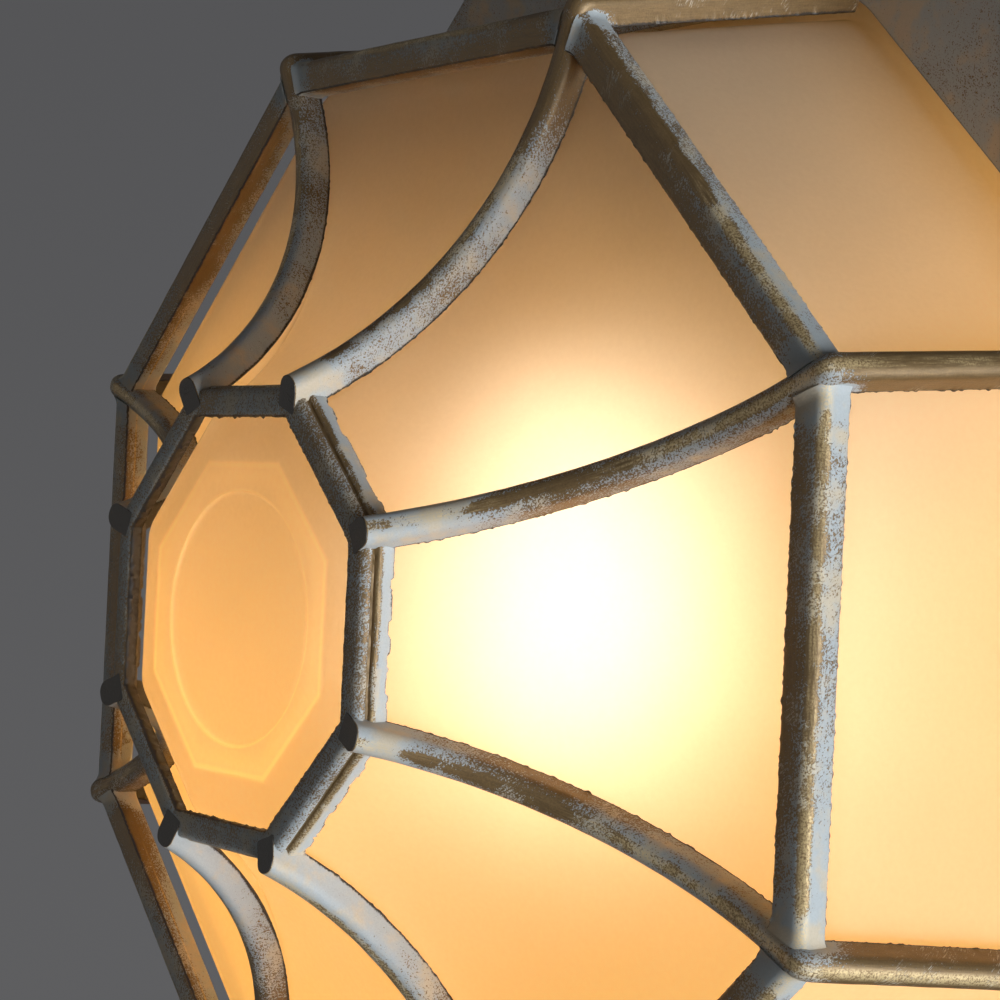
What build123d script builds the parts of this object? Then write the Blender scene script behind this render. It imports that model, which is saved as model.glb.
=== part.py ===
from build123d import *
import math
import os

# Octagonal ceiling light for a porch, in millimetres.
# The ceiling is the plane Z = 0 and the light hangs towards -Z.
# Flats of the octagon face X and Y. The hinge is at +Y and the thumb screw at -Y.

# Octagon
SIDES = 8
SIDE_ANGLE = 360 / SIDES
FLAT_RATIO = math.cos(math.radians(SIDE_ANGLE / 2))

# Ceiling tray
CEILING_GASKET_THICKNESS = 2.0
CEILING_GASKET_WIDTH = 10.0
TRAY_DEPTH = 20.0
TRAY_WALL = 2.0
TRAY_CLIP_GAP = 0.05
TRAY_CORNER = 10.0
TRAY_BEND = 1.8
TRAY_RIM_WIDTH = 6.0
TRAY_SEAL_THICKNESS = 2.0
TRAY_SEAL_WIDTH = 5.0
FIXING_CIRCLE = 200.0
FIXING_COUNT = 4
FIXING_HOLE_RADIUS = 2.75
SEALING_WASHER_RADIUS = 7.0
SEALING_WASHER_THICKNESS = 1.5

# Cage
EQUATOR_RADIUS = 125.0
UPPER_HEIGHT = 66.0
RIB_FLARE = 0.22
RIB_ARC_RADIUS = 73.75
RIB_ARC_INSET = 12.5
RIB_WIDTH = 5.2
RIB_DEPTH = 6.2
RIB_NOSE = 2.3
RIB_SHOULDER = 4.0
RIB_ARMPIT = 2.0
HOOD_LENGTH = 6.4
BAR_WIDTH = 7.2
BAR_HEIGHT = 6.0
BAR_SET_BACK = 1.3
BAR_LIFT = 0.5
BAR_NOSE = 2.4
BAR_EASE = 1.0
RING_DROP = 36.6
RING_CORNER_INSET = 1.22
RING_FACE = 5.3
RING_HEIGHT = 6.4
RING_LIP = 2.3
RING_STEP = 0.7
FLANGE_OVERHANG = 3.0
FLANGE_THICKNESS = 3.5
FLANGE_CORNER = 12.0
FLANGE_EASE = 1.2
FLANGE_OPENING_GAP = 4.4
FLANGE_OPENING_CORNER = 18.0

# Glass bowl
GLASS_THICKNESS = 3.5
GLASS_GAP_UNDER = 1.5
GLASS_GAP_SIDE = 1.8
GLASS_FLOOR_LIFT = 1.6
GLASS_FLOOR_ROUNDING = 14.0
GLASS_EQUATOR_ROUNDING = 9.5
GLASS_FOLD_ROUNDING = 3.0
GLASS_RIM_WIDTH = 11.4
GLASS_DISC_RADIUS = 23.75
GLASS_DISC_DEPTH = 0.7
GLASS_GASKET_THICKNESS = 1.5
GLASS_GASKET_WIDTH = 5.5

# Glass clips
CLIP_COUNT = 4
CLIP_THICKNESS = 1.5
CLIP_WIDTH = 16.0
CLIP_GRIP = 4.5
CLIP_FOOT = 6.0
CLIP_GAP = 0.5

# Screws and rivets
SMALL_SHANK_RADIUS = 1.5
SMALL_HEAD_RADIUS = 2.8
SMALL_HEAD_HEIGHT = 1.9
SLOT_WIDTH = 0.8
SLOT_DEPTH = 0.8
FASTENER_GAP = 0.06

# Hinge
LEAF = 2.0
LEAF_LENGTH = 40.0
LEAF_UPSTAND = 11.0
LEAF_SCREW_SPACING = 24.0
SHADE_LEAF_REACH = 14.0
HINGE_PIN_RADIUS = 1.75
HINGE_RUNNING_GAP = 0.06
HINGE_OUTSTAND = 5.5
KNUCKLE_LENGTH = 19.6
KNUCKLE_GAP = 0.4
PIN_HEAD_RADIUS = 2.9
PIN_HEAD_LENGTH = 1.3

# Latch
LATCH_WIDTH = 24.0
LATCH_OUTSTAND = 7.5
LATCH_LUG_RADIUS = 8.5
LATCH_BUSH_RADIUS = 5.0
LATCH_BUSH_HEIGHT = 8.0
LATCH_THREAD_CREST = 2.0
LATCH_THREAD_ROOT = 1.6
LATCH_HOLE_RADIUS = 2.3
LATCH_KNOB_RADIUS = 7.0
LATCH_KNOB_HEIGHT = 9.0
LATCH_KNOB_GROOVES = 16
LATCH_KNOB_GROOVE_RADIUS = 0.8
LATCH_WASHER_RADIUS = 5.5
LATCH_WASHER_THICKNESS = 0.8
LATCH_TIP_SHORT = 1.0
RIVET_SPACING = 14.0

# Lamp and lampholder, lying along X with the globe on the axis of the octagon
LAMP_DROP_BELOW_FLANGE = 16.0
GLOBE_RADIUS = 30.0
LAMP_WALL = 1.0
LAMP_SHOULDER_ANGLE = 36.7
LAMP_NECK_RADIUS = 13.4
LAMP_NECK_START = 50.0
LAMP_CAP_RADIUS = 13.1
LAMP_CAP_LENGTH = 24.0
LAMP_CONTACT_RADIUS = 4.8
LAMP_CONTACT_LENGTH = 3.2
HOLDER_RADIUS = 21.0
HOLDER_TAIL_RADIUS = 17.0
HOLDER_TAIL_LENGTH = 14.0
HOLDER_MOUTH_GAP = 2.6
HOLDER_MOUTH_DEPTH = 5.0
HOLDER_FLOOR = 5.0
SHELL_GAP = 0.4
SHELL_THICKNESS = 0.6
CONTACT_WIDTH = 7.0
CONTACT_THICKNESS = 0.8
CONTACT_GAP = 0.3

# Lampholder bracket
BRACKET_THICKNESS = 2.0
BRACKET_WIDTH = 30.0
BRACKET_FOOT = 34.0
BRACKET_BELOW_AXIS = 16.0
BRACKET_SCREW_SPACING = 18.0
HOLDER_SCREW_SPACING = 20.0

# Terminals, wires and cable entry
BLOCK_Y = 78.0
BLOCK_LENGTH = 36.0
BLOCK_WIDTH = 20.0
BLOCK_HEIGHT = 14.0
POLE_COUNT = 3
POLE_SPACING = 10.0
POLE_DROP = 6.0
POLE_SCREW_OFFSET = 5.0
POLE_SCREW_RADIUS = 1.6
WIRE_RADIUS = 1.1
WIRE_GAP = 0.3
WIRE_BEND = 7.0
WIRE_ENTRY = 4.0
NEUTRAL_RUN_Y = 27.0
LIVE_RUN_Y = 35.0
WIRE_TAIL_PITCH = 6.0
EARTH_X = -46.0
EARTH_Y = 48.0
EARTH_PILLAR_SIDES = 6
EARTH_PILLAR_RADIUS = 4.0
EARTH_LUG_THICKNESS = 1.0
EARTH_BARREL_RADIUS = 1.9
EARTH_BARREL_LENGTH = 7.0
EARTH_NECK = 3.0
GROMMET_Y = 108.0
GROMMET_BORE_RADIUS = 4.5
GROMMET_HOLE_RADIUS = 8.0
GROMMET_LIP = 2.0
GROMMET_LIP_THICKNESS = 1.6

# Heights that follow from the stack under the ceiling
TRAY_TOP = -CEILING_GASKET_THICKNESS
TRAY_FLOOR = TRAY_TOP - TRAY_WALL
TRAY_EDGE = TRAY_TOP - TRAY_DEPTH
TRAY_RIM_TOP = TRAY_EDGE + TRAY_WALL
FLANGE_TOP = TRAY_EDGE - TRAY_SEAL_THICKNESS
FLANGE_UNDER = FLANGE_TOP - FLANGE_THICKNESS
EQUATOR = FLANGE_UNDER - UPPER_HEIGHT
RING_FRONT = EQUATOR - RING_DROP
GLASS_RIM_UNDER = FLANGE_TOP + GLASS_GASKET_THICKNESS
GLASS_RIM_TOP = GLASS_RIM_UNDER + GLASS_THICKNESS
LAMP_AXIS = FLANGE_UNDER - LAMP_DROP_BELOW_FLANGE

# The circle that the ribs and the glass bend along, seen in a plane through two opposite corners
ARC_R = EQUATOR_RADIUS - RIB_ARC_INSET
ARC_Z = EQUATOR - RIB_ARC_RADIUS
SHOULDER_Z = ARC_Z + math.sqrt(RIB_ARC_RADIUS**2 - RIB_ARC_INSET**2)
FLARE_LENGTH = math.hypot(1, RIB_FLARE)
RIB_BACK_RADIUS = RIB_ARC_RADIUS + RIB_DEPTH


def arc_height(radius, r):
    """Height of the bending circle, grown to this radius, at distance r from the axis."""
    return ARC_Z + math.sqrt(radius**2 - (r - ARC_R) ** 2)


def arc_reach(radius, z):
    """Distance from the axis of the bending circle, grown to this radius, at height z."""
    return ARC_R - math.sqrt(radius**2 - (z - ARC_Z) ** 2)


def flared(r, from_z, to_z):
    """Distance from the axis at to_z on a wall that flares from r at from_z."""
    return r + RIB_FLARE * (to_z - from_z)


# Ring and hoods follow the toes of the ribs
RIB_TOE_R = arc_reach(RIB_BACK_RADIUS, RING_FRONT)
HOOD_RADIUS = RIB_TOE_R + HOOD_LENGTH
RING_INNER_APOTHEM = (RIB_TOE_R - RING_CORNER_INSET) * FLAT_RATIO

# Octagons from the glass outwards: wall, opening, rim, clips, tray and flange
GLASS_SIDE = (RIB_DEPTH + GLASS_GAP_SIDE) * FLARE_LENGTH
GLASS_FOLD_APOTHEM = flared(EQUATOR_RADIUS - GLASS_SIDE, SHOULDER_Z, GLASS_RIM_UNDER) * FLAT_RATIO
FLANGE_OPENING_APOTHEM = GLASS_FOLD_APOTHEM + FLANGE_OPENING_GAP
GLASS_RIM_APOTHEM = GLASS_FOLD_APOTHEM + GLASS_RIM_WIDTH
CLIP_RISER = GLASS_RIM_APOTHEM + CLIP_GAP
CLIP_END = CLIP_RISER + CLIP_THICKNESS + CLIP_FOOT
TRAY_INNER_APOTHEM = CLIP_END + TRAY_CLIP_GAP
TRAY_APOTHEM = TRAY_INNER_APOTHEM + TRAY_WALL
TRAY_RIM_APOTHEM = TRAY_APOTHEM + TRAY_RIM_WIDTH
FLANGE_APOTHEM = TRAY_RIM_APOTHEM + FLANGE_OVERHANG

# Stations of the lamp along X
CAP_END = LAMP_NECK_START + LAMP_CAP_LENGTH
LAMP_END = CAP_END + LAMP_CONTACT_LENGTH
CONTACT_START = LAMP_END + CONTACT_GAP
HOLDER_FLOOR_X = CONTACT_START + CONTACT_THICKNESS
HOLDER_STEP_X = HOLDER_FLOOR_X + HOLDER_FLOOR
HOLDER_END = HOLDER_STEP_X + HOLDER_TAIL_LENGTH

# Heights of wires and poles
POLE_Z = TRAY_FLOOR - POLE_DROP
BLOCK_NEAR_Y = BLOCK_Y - BLOCK_WIDTH / 2

# Hinge axis
KNUCKLE_RADIUS = HINGE_PIN_RADIUS + HINGE_RUNNING_GAP + LEAF
HINGE_Y = FLANGE_APOTHEM + HINGE_OUTSTAND
HINGE_Z = TRAY_RIM_TOP + LEAF - KNUCKLE_RADIUS

# Latch axis
LATCH_Y = -(FLANGE_APOTHEM + LATCH_OUTSTAND)


def turned_plane(angle):
    """Upright plane through the axis: local x leads outwards at this angle and local y leads up."""
    a = math.radians(angle)
    return Plane(origin=(0, 0, 0), x_dir=(math.cos(a), math.sin(a), 0), z_dir=(math.sin(a), -math.cos(a), 0))


def octagon(apothem, corner=0, mode=Mode.ADD):
    """Octagon with flats facing X and Y, for use inside a sketch."""
    with BuildSketch(mode=Mode.PRIVATE) as outline:
        RegularPolygon(apothem, SIDES, major_radius=False, rotation=SIDE_ANGLE / 2)
        if corner > 0:
            fillet(outline.vertices(), corner)
    add(outline.sketch, mode=mode)


def octagon_band(outer, inner, low, high, outer_corner=0, inner_corner=0):
    """Flat octagonal band between two heights, for use inside a part."""
    with BuildSketch(Plane.XY.offset(low)) as band:
        octagon(outer, outer_corner)
        octagon(inner, inner_corner, mode=Mode.SUBTRACT)
    extrude(band.sketch, amount=high - low)


def screw_group(places, shank_radius, shank_length, head_radius, head_height):
    """Slotted pan head screws, one solid each; a place's Z axis points out of the head."""
    with BuildPart() as screws:
        with Locations(*places):
            Cylinder(shank_radius, shank_length, align=(Align.CENTER, Align.CENTER, Align.MAX))
            Cylinder(head_radius, head_height, align=(Align.CENTER, Align.CENTER, Align.MIN))
        with Locations(*[place * Location((0, 0, head_height)) for place in places]):
            Box(
                2 * head_radius,
                SLOT_WIDTH,
                SLOT_DEPTH,
                align=(Align.CENTER, Align.CENTER, Align.MAX),
                mode=Mode.SUBTRACT,
            )
    return screws.part


def small_screws(places, grip):
    """Small pan head screws that reach this far below their heads."""
    return screw_group(places, SMALL_SHANK_RADIUS, grip, SMALL_HEAD_RADIUS, SMALL_HEAD_HEIGHT)


def facing(x, y, z, direction):
    """Place at a point with its Z axis along a direction."""
    return Plane(origin=(x, y, z), z_dir=direction).location


def clear_holes(places, depth, radius=SMALL_SHANK_RADIUS + FASTENER_GAP):
    """Holes for shanks, cut both ways from each place, for use inside a part."""
    with Locations(*places):
        Cylinder(radius, 2 * depth, mode=Mode.SUBTRACT)


# Places that several pieces share
FIXING_PLACES = [
    facing(FIXING_CIRCLE / 2 * math.cos(a), FIXING_CIRCLE / 2 * math.sin(a), TRAY_FLOOR, (0, 0, -1))
    for a in [math.radians(SIDE_ANGLE + 360 / FIXING_COUNT * n) for n in range(FIXING_COUNT)]
]
BRACKET_FOOT_X = HOLDER_END + BRACKET_THICKNESS - BRACKET_FOOT / 2
BRACKET_PLACES = [
    facing(BRACKET_FOOT_X, side * BRACKET_SCREW_SPACING / 2, TRAY_FLOOR - BRACKET_THICKNESS, (0, 0, -1))
    for side in (-1, 1)
]
HOLDER_PLACES = [
    facing(HOLDER_END + BRACKET_THICKNESS, side * HOLDER_SCREW_SPACING / 2, LAMP_AXIS, (1, 0, 0))
    for side in (-1, 1)
]
BLOCK_PLACES = [
    facing(side * POLE_SPACING / 2, BLOCK_Y, TRAY_FLOOR - BLOCK_HEIGHT, (0, 0, -1)) for side in (-1, 1)
]
POLE_PLACES = [
    facing(
        (n - (POLE_COUNT - 1) / 2) * POLE_SPACING,
        BLOCK_Y + side * POLE_SCREW_OFFSET,
        TRAY_FLOOR - BLOCK_HEIGHT,
        (0, 0, -1),
    )
    for n in range(POLE_COUNT)
    for side in (-1, 1)
]
EARTH_PILLAR_END = POLE_Z + EARTH_LUG_THICKNESS / 2
EARTH_PLACE = facing(EARTH_X, EARTH_Y, EARTH_PILLAR_END - EARTH_LUG_THICKNESS, (0, 0, -1))
LEAF_SCREW_Z = TRAY_RIM_TOP + LEAF + LEAF_UPSTAND / 2
BASE_LEAF_PLACES = [
    facing(side * LEAF_SCREW_SPACING / 2, TRAY_APOTHEM + LEAF, LEAF_SCREW_Z, (0, 1, 0)) for side in (-1, 1)
]
SHADE_LEAF_PLACES = [
    facing(
        side * LEAF_SCREW_SPACING / 2,
        FLANGE_APOTHEM - SHADE_LEAF_REACH / 2,
        FLANGE_UNDER - LEAF,
        (0, 0, -1),
    )
    for side in (-1, 1)
]
RIVET_PLACES = [
    facing(side * RIVET_SPACING / 2, -TRAY_APOTHEM - LEAF, LEAF_SCREW_Z, (0, -1, 0)) for side in (-1, 1)
]
CLIP_ANGLES = [SIDE_ANGLE + 360 / CLIP_COUNT * n for n in range(CLIP_COUNT)]
CLIP_SCREW_R = CLIP_RISER + CLIP_THICKNESS + CLIP_FOOT / 2
CLIP_PLACES = [
    facing(
        CLIP_SCREW_R * math.cos(math.radians(angle)),
        CLIP_SCREW_R * math.sin(math.radians(angle)),
        FLANGE_TOP + CLIP_THICKNESS,
        (0, 0, 1),
    )
    for angle in CLIP_ANGLES
]

# Base tray, a pressed pan with an outward rim
with BuildPart() as base_tray:
    with BuildSketch(Plane.XY.offset(TRAY_EDGE)):
        octagon(TRAY_APOTHEM, TRAY_CORNER)
    extrude(amount=TRAY_DEPTH)
    fillet(base_tray.faces().sort_by(Axis.Z)[-1].edges(), TRAY_BEND)
    with BuildSketch(Plane.XY.offset(TRAY_EDGE)):
        octagon(TRAY_RIM_APOTHEM, TRAY_CORNER + TRAY_RIM_WIDTH)
    extrude(amount=TRAY_WALL)
    with BuildSketch(Plane.XY.offset(TRAY_EDGE)):
        octagon(TRAY_INNER_APOTHEM, TRAY_CORNER - TRAY_WALL)
    extrude(amount=TRAY_FLOOR - TRAY_EDGE, mode=Mode.SUBTRACT)
    clear_holes(FIXING_PLACES, 2 * TRAY_WALL, FIXING_HOLE_RADIUS)
    clear_holes([facing(0, GROMMET_Y, TRAY_FLOOR, (0, 0, -1))], 2 * TRAY_WALL, GROMMET_HOLE_RADIUS)
    clear_holes(BRACKET_PLACES, TRAY_WALL + 2 * BRACKET_THICKNESS)
    clear_holes(BLOCK_PLACES, TRAY_WALL + 2 * BLOCK_HEIGHT)
    clear_holes(BASE_LEAF_PLACES, TRAY_WALL + 2 * LEAF)
    clear_holes(RIVET_PLACES, TRAY_WALL + 2 * LEAF)

# Foam ring between the tray and the ceiling
with BuildPart() as ceiling_gasket:
    octagon_band(
        TRAY_INNER_APOTHEM,
        TRAY_INNER_APOTHEM - CEILING_GASKET_WIDTH,
        TRAY_TOP,
        0,
        TRAY_CORNER,
        TRAY_CORNER,
    )

# Silicone ring between the tray rim and the cage flange
with BuildPart() as tray_seal:
    octagon_band(
        TRAY_RIM_APOTHEM - FLANGE_EASE,
        TRAY_RIM_APOTHEM - FLANGE_EASE - TRAY_SEAL_WIDTH,
        FLANGE_TOP,
        TRAY_EDGE,
        TRAY_CORNER + TRAY_RIM_WIDTH,
        TRAY_CORNER,
    )

# Washers under the heads of the ceiling screws
with BuildPart() as sealing_washers:
    with Locations(*FIXING_PLACES):
        Cylinder(
            SEALING_WASHER_RADIUS,
            SEALING_WASHER_THICKNESS,
            align=(Align.CENTER, Align.CENTER, Align.MIN),
        )
    fillet(sealing_washers.faces().group_by(Axis.Z)[0].edges(), SEALING_WASHER_THICKNESS / 3)
    clear_holes(FIXING_PLACES, 2 * SEALING_WASHER_THICKNESS, FIXING_HOLE_RADIUS)

# Rubber grommet that the supply cable comes through
with BuildPart() as cable_grommet:
    with BuildSketch(Plane.XZ.offset(-GROMMET_Y)):
        with BuildLine():
            Polyline(
                (GROMMET_BORE_RADIUS, TRAY_TOP),
                (GROMMET_BORE_RADIUS, TRAY_FLOOR - GROMMET_LIP_THICKNESS),
                (GROMMET_HOLE_RADIUS + GROMMET_LIP, TRAY_FLOOR - GROMMET_LIP_THICKNESS),
                (GROMMET_HOLE_RADIUS + GROMMET_LIP, TRAY_FLOOR),
                (GROMMET_HOLE_RADIUS - FASTENER_GAP, TRAY_FLOOR),
                (GROMMET_HOLE_RADIUS - FASTENER_GAP, TRAY_TOP),
                close=True,
            )
        make_face()
    revolve(axis=Axis((0, GROMMET_Y, 0), (0, 0, 1)))

# Terminal block with three poles
with BuildPart() as terminal_block:
    with Locations((0, BLOCK_Y, TRAY_FLOOR)):
        Box(BLOCK_LENGTH, BLOCK_WIDTH, BLOCK_HEIGHT, align=(Align.CENTER, Align.CENTER, Align.MAX))
    fillet(terminal_block.edges().filter_by(Axis.Z), POLE_SCREW_RADIUS)
    with BuildSketch(Plane.XZ.offset(-BLOCK_NEAR_Y - BLOCK_WIDTH)):
        with Locations((0, POLE_Z)):
            with GridLocations(POLE_SPACING, 0, POLE_COUNT, 1):
                Circle(WIRE_RADIUS + WIRE_GAP)
    extrude(amount=2 * BLOCK_WIDTH, mode=Mode.SUBTRACT)
    clear_holes(POLE_PLACES, BLOCK_HEIGHT - POLE_DROP, POLE_SCREW_RADIUS + FASTENER_GAP)
    clear_holes(BLOCK_PLACES, 2 * BLOCK_HEIGHT)

# Clamping screws of the poles: each presses on a wire from below
POLE_SCREW_GRIP = BLOCK_HEIGHT - POLE_DROP - WIRE_RADIUS - WIRE_GAP
pole_screws = screw_group(
    POLE_PLACES, POLE_SCREW_RADIUS, POLE_SCREW_GRIP, POLE_SCREW_RADIUS + WIRE_GAP, SMALL_HEAD_HEIGHT / 2
)

# Screws that hold the block to the tray
block_screws = small_screws(BLOCK_PLACES, BLOCK_HEIGHT + TRAY_WALL)

# Earth pillar, lug and screw
with BuildPart() as earth_pillar:
    with BuildSketch(Plane.XY.offset(EARTH_PILLAR_END)):
        with Locations((EARTH_X, EARTH_Y)):
            RegularPolygon(EARTH_PILLAR_RADIUS, EARTH_PILLAR_SIDES, major_radius=False)
    extrude(amount=TRAY_FLOOR - EARTH_PILLAR_END)
    clear_holes([EARTH_PLACE], TRAY_FLOOR - EARTH_PILLAR_END)

EARTH_BARREL_START = EARTH_X + EARTH_PILLAR_RADIUS + EARTH_NECK
with BuildPart() as earth_lug:
    with BuildSketch(Plane.XY.offset(EARTH_PILLAR_END - EARTH_LUG_THICKNESS)):
        with Locations((EARTH_X, EARTH_Y)):
            Circle(EARTH_PILLAR_RADIUS)
            Rectangle(
                EARTH_PILLAR_RADIUS + EARTH_NECK,
                2 * EARTH_BARREL_RADIUS,
                align=(Align.MIN, Align.CENTER),
            )
    extrude(amount=EARTH_LUG_THICKNESS)
    with BuildSketch(Plane.YZ.offset(EARTH_BARREL_START)):
        with Locations((EARTH_Y, POLE_Z)):
            Circle(EARTH_BARREL_RADIUS)
    extrude(amount=EARTH_BARREL_LENGTH)
    clear_holes([EARTH_PLACE], 2 * EARTH_LUG_THICKNESS)

earth_screw = small_screws([EARTH_PLACE], EARTH_LUG_THICKNESS + POLE_DROP / 2)


def wire_along(points):
    """Insulated wire along straight runs joined by round bends."""
    with BuildPart() as wire:
        with BuildLine() as route:
            FilletPolyline(*points, radius=WIRE_BEND)
        with BuildSketch(Plane(origin=route.line @ 0, z_dir=route.line % 0)):
            Circle(WIRE_RADIUS)
        sweep()
    return wire.part


# Wires between the block, the lampholder and the earth pillar
TAIL_X = HOLDER_STEP_X + HOLDER_TAIL_LENGTH / 2
LIVE_TAIL = (TAIL_X, LAMP_AXIS + WIRE_TAIL_PITCH)
NEUTRAL_TAIL = (TAIL_X - WIRE_TAIL_PITCH, LAMP_AXIS - WIRE_TAIL_PITCH)
WIRE_END_Y = HOLDER_TAIL_RADIUS - 2 * WIRE_ENTRY
WIRE_START_Y = BLOCK_NEAR_Y + WIRE_ENTRY
live_wire = wire_along(
    [
        (POLE_SPACING, WIRE_START_Y, POLE_Z),
        (POLE_SPACING, LIVE_RUN_Y, POLE_Z),
        (LIVE_TAIL[0], LIVE_RUN_Y, POLE_Z),
        (LIVE_TAIL[0], LIVE_RUN_Y, LIVE_TAIL[1]),
        (LIVE_TAIL[0], WIRE_END_Y, LIVE_TAIL[1]),
    ]
)
neutral_wire = wire_along(
    [
        (0, WIRE_START_Y, POLE_Z),
        (0, NEUTRAL_RUN_Y, POLE_Z),
        (NEUTRAL_TAIL[0], NEUTRAL_RUN_Y, POLE_Z),
        (NEUTRAL_TAIL[0], NEUTRAL_RUN_Y, NEUTRAL_TAIL[1]),
        (NEUTRAL_TAIL[0], WIRE_END_Y, NEUTRAL_TAIL[1]),
    ]
)
earth_wire = wire_along(
    [
        (-POLE_SPACING, WIRE_START_Y, POLE_Z),
        (-POLE_SPACING, EARTH_Y, POLE_Z),
        (EARTH_BARREL_START + EARTH_BARREL_LENGTH, EARTH_Y, POLE_Z),
    ]
)


# Line of the lamp and the plane of its outlines
LAMP_LINE = Axis((0, 0, LAMP_AXIS), (1, 0, 0))
LAMP_PLANE = Plane(origin=(0, 0, LAMP_AXIS), x_dir=(1, 0, 0), z_dir=(0, -1, 0))


def turned_along_lamp(points):
    """Closed outline of (station along X, radius) points turned round the lamp, for use inside a part."""
    with BuildSketch(LAMP_PLANE) as outline:
        with BuildLine():
            Polyline(*points, close=True)
        make_face()
    revolve(outline.sketch, axis=LAMP_LINE)


# Porcelain lampholder, open towards the globe
SHELL_INNER = LAMP_CAP_RADIUS + SHELL_GAP
SHELL_OUTER = SHELL_INNER + SHELL_THICKNESS
MOUTH_X = LAMP_NECK_START - HOLDER_MOUTH_DEPTH / 2
MOUTH_RADIUS = SHELL_OUTER + HOLDER_MOUTH_GAP
with BuildPart() as lampholder_body:
    turned_along_lamp(
        [
            (MOUTH_X, MOUTH_RADIUS),
            (MOUTH_X, HOLDER_RADIUS),
            (HOLDER_STEP_X, HOLDER_RADIUS),
            (HOLDER_STEP_X, HOLDER_TAIL_RADIUS),
            (HOLDER_END, HOLDER_TAIL_RADIUS),
            (HOLDER_END, 0),
            (HOLDER_FLOOR_X, 0),
            (HOLDER_FLOOR_X, SHELL_OUTER + FASTENER_GAP),
            (MOUTH_X + HOLDER_MOUTH_DEPTH, SHELL_OUTER + FASTENER_GAP),
            (MOUTH_X + HOLDER_MOUTH_DEPTH, MOUTH_RADIUS),
        ]
    )
    rims = lampholder_body.edges().filter_by(GeomType.CIRCLE).group_by(SortBy.RADIUS)[-1]
    fillet(rims, HOLDER_MOUTH_GAP / 2)
    clear_holes(HOLDER_PLACES, HOLDER_TAIL_LENGTH / 2 + BRACKET_THICKNESS)
    tail_places = [facing(x, HOLDER_RADIUS, z, (0, 1, 0)) for x, z in (LIVE_TAIL, NEUTRAL_TAIL)]
    clear_holes(tail_places, HOLDER_RADIUS - WIRE_END_Y, WIRE_RADIUS + WIRE_GAP)

# Screw shell, pressed from thin metal
with BuildPart() as lampholder_shell:
    turned_along_lamp(
        [
            (MOUTH_X + HOLDER_MOUTH_DEPTH, SHELL_INNER),
            (MOUTH_X + HOLDER_MOUTH_DEPTH, SHELL_OUTER),
            (HOLDER_FLOOR_X, SHELL_OUTER),
            (HOLDER_FLOOR_X, LAMP_CONTACT_RADIUS + CONTACT_WIDTH),
            (CONTACT_START, LAMP_CONTACT_RADIUS + CONTACT_WIDTH),
            (CONTACT_START, SHELL_INNER),
        ]
    )

# Spring tongue under the lamp's end contact
with BuildPart() as lampholder_contact:
    with BuildSketch(Plane.YZ.offset(CONTACT_START)):
        with Locations((0, LAMP_AXIS)):
            SlotOverall(2 * LAMP_CONTACT_RADIUS + CONTACT_WIDTH, CONTACT_WIDTH)
    extrude(amount=CONTACT_THICKNESS)

# Bracket: a foot on the tray and an upright behind the lampholder
with BuildPart() as lampholder_bracket:
    with BuildSketch(Plane.XY.offset(TRAY_FLOOR - BRACKET_THICKNESS)):
        with Locations((HOLDER_END + BRACKET_THICKNESS, 0)):
            Rectangle(BRACKET_FOOT, BRACKET_WIDTH, align=(Align.MAX, Align.CENTER))
    extrude(amount=BRACKET_THICKNESS)
    with BuildSketch(Plane.YZ.offset(HOLDER_END)):
        with Locations((0, LAMP_AXIS - BRACKET_BELOW_AXIS)):
            Rectangle(
                BRACKET_WIDTH,
                TRAY_FLOOR - LAMP_AXIS + BRACKET_BELOW_AXIS,
                align=(Align.CENTER, Align.MIN),
            )
    extrude(amount=BRACKET_THICKNESS)
    free_corners = lampholder_bracket.edges().filter_by(Axis.Z).group_by(Axis.X)[0]
    free_corners += lampholder_bracket.edges().filter_by(Axis.X).group_by(Axis.Z)[0]
    fillet(free_corners, 2 * BRACKET_THICKNESS)
    clear_holes(BRACKET_PLACES, 2 * BRACKET_THICKNESS)
    clear_holes(HOLDER_PLACES, 2 * BRACKET_THICKNESS)

bracket_screws = small_screws(BRACKET_PLACES, BRACKET_THICKNESS + TRAY_WALL)
holder_screws = small_screws(HOLDER_PLACES, BRACKET_THICKNESS + HOLDER_TAIL_LENGTH / 2)

def lamp_outline(inset):
    """Half outline of the envelope, moved in by inset: a round crown that runs into a drawn neck."""
    with BuildSketch(LAMP_PLANE) as outline:
        with BuildLine():
            crown = CenterArc((0, 0), GLOBE_RADIUS - inset, 180, -90 - LAMP_SHOULDER_ANGLE)
            neck_end = (LAMP_NECK_START, LAMP_NECK_RADIUS - inset)
            TangentArc(crown @ 1, neck_end, tangent=crown % 1)
            Polyline(neck_end, (LAMP_NECK_START, 0), crown @ 0)
        make_face()
    return outline.sketch


# Lamp envelope, a thin shell closed by the cap
with BuildPart() as lamp_envelope:
    revolve(lamp_outline(0), axis=LAMP_LINE)
    revolve(lamp_outline(LAMP_WALL), axis=LAMP_LINE, mode=Mode.SUBTRACT)

# Lamp cap and end contact
with BuildPart() as lamp_cap:
    turned_along_lamp(
        [
            (LAMP_NECK_START, 0),
            (LAMP_NECK_START, LAMP_CAP_RADIUS),
            (CAP_END - LAMP_CONTACT_LENGTH, LAMP_CAP_RADIUS),
            (CAP_END, 2 * LAMP_CONTACT_RADIUS),
            (CAP_END, 0),
        ]
    )

with BuildPart() as lamp_contact:
    turned_along_lamp(
        [
            (CAP_END, 0),
            (CAP_END, LAMP_CONTACT_RADIUS),
            (LAMP_END - LAMP_CONTACT_LENGTH / 3, LAMP_CONTACT_RADIUS),
            (LAMP_END, LAMP_CONTACT_RADIUS / 2),
            (LAMP_END, 0),
        ]
    )

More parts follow.
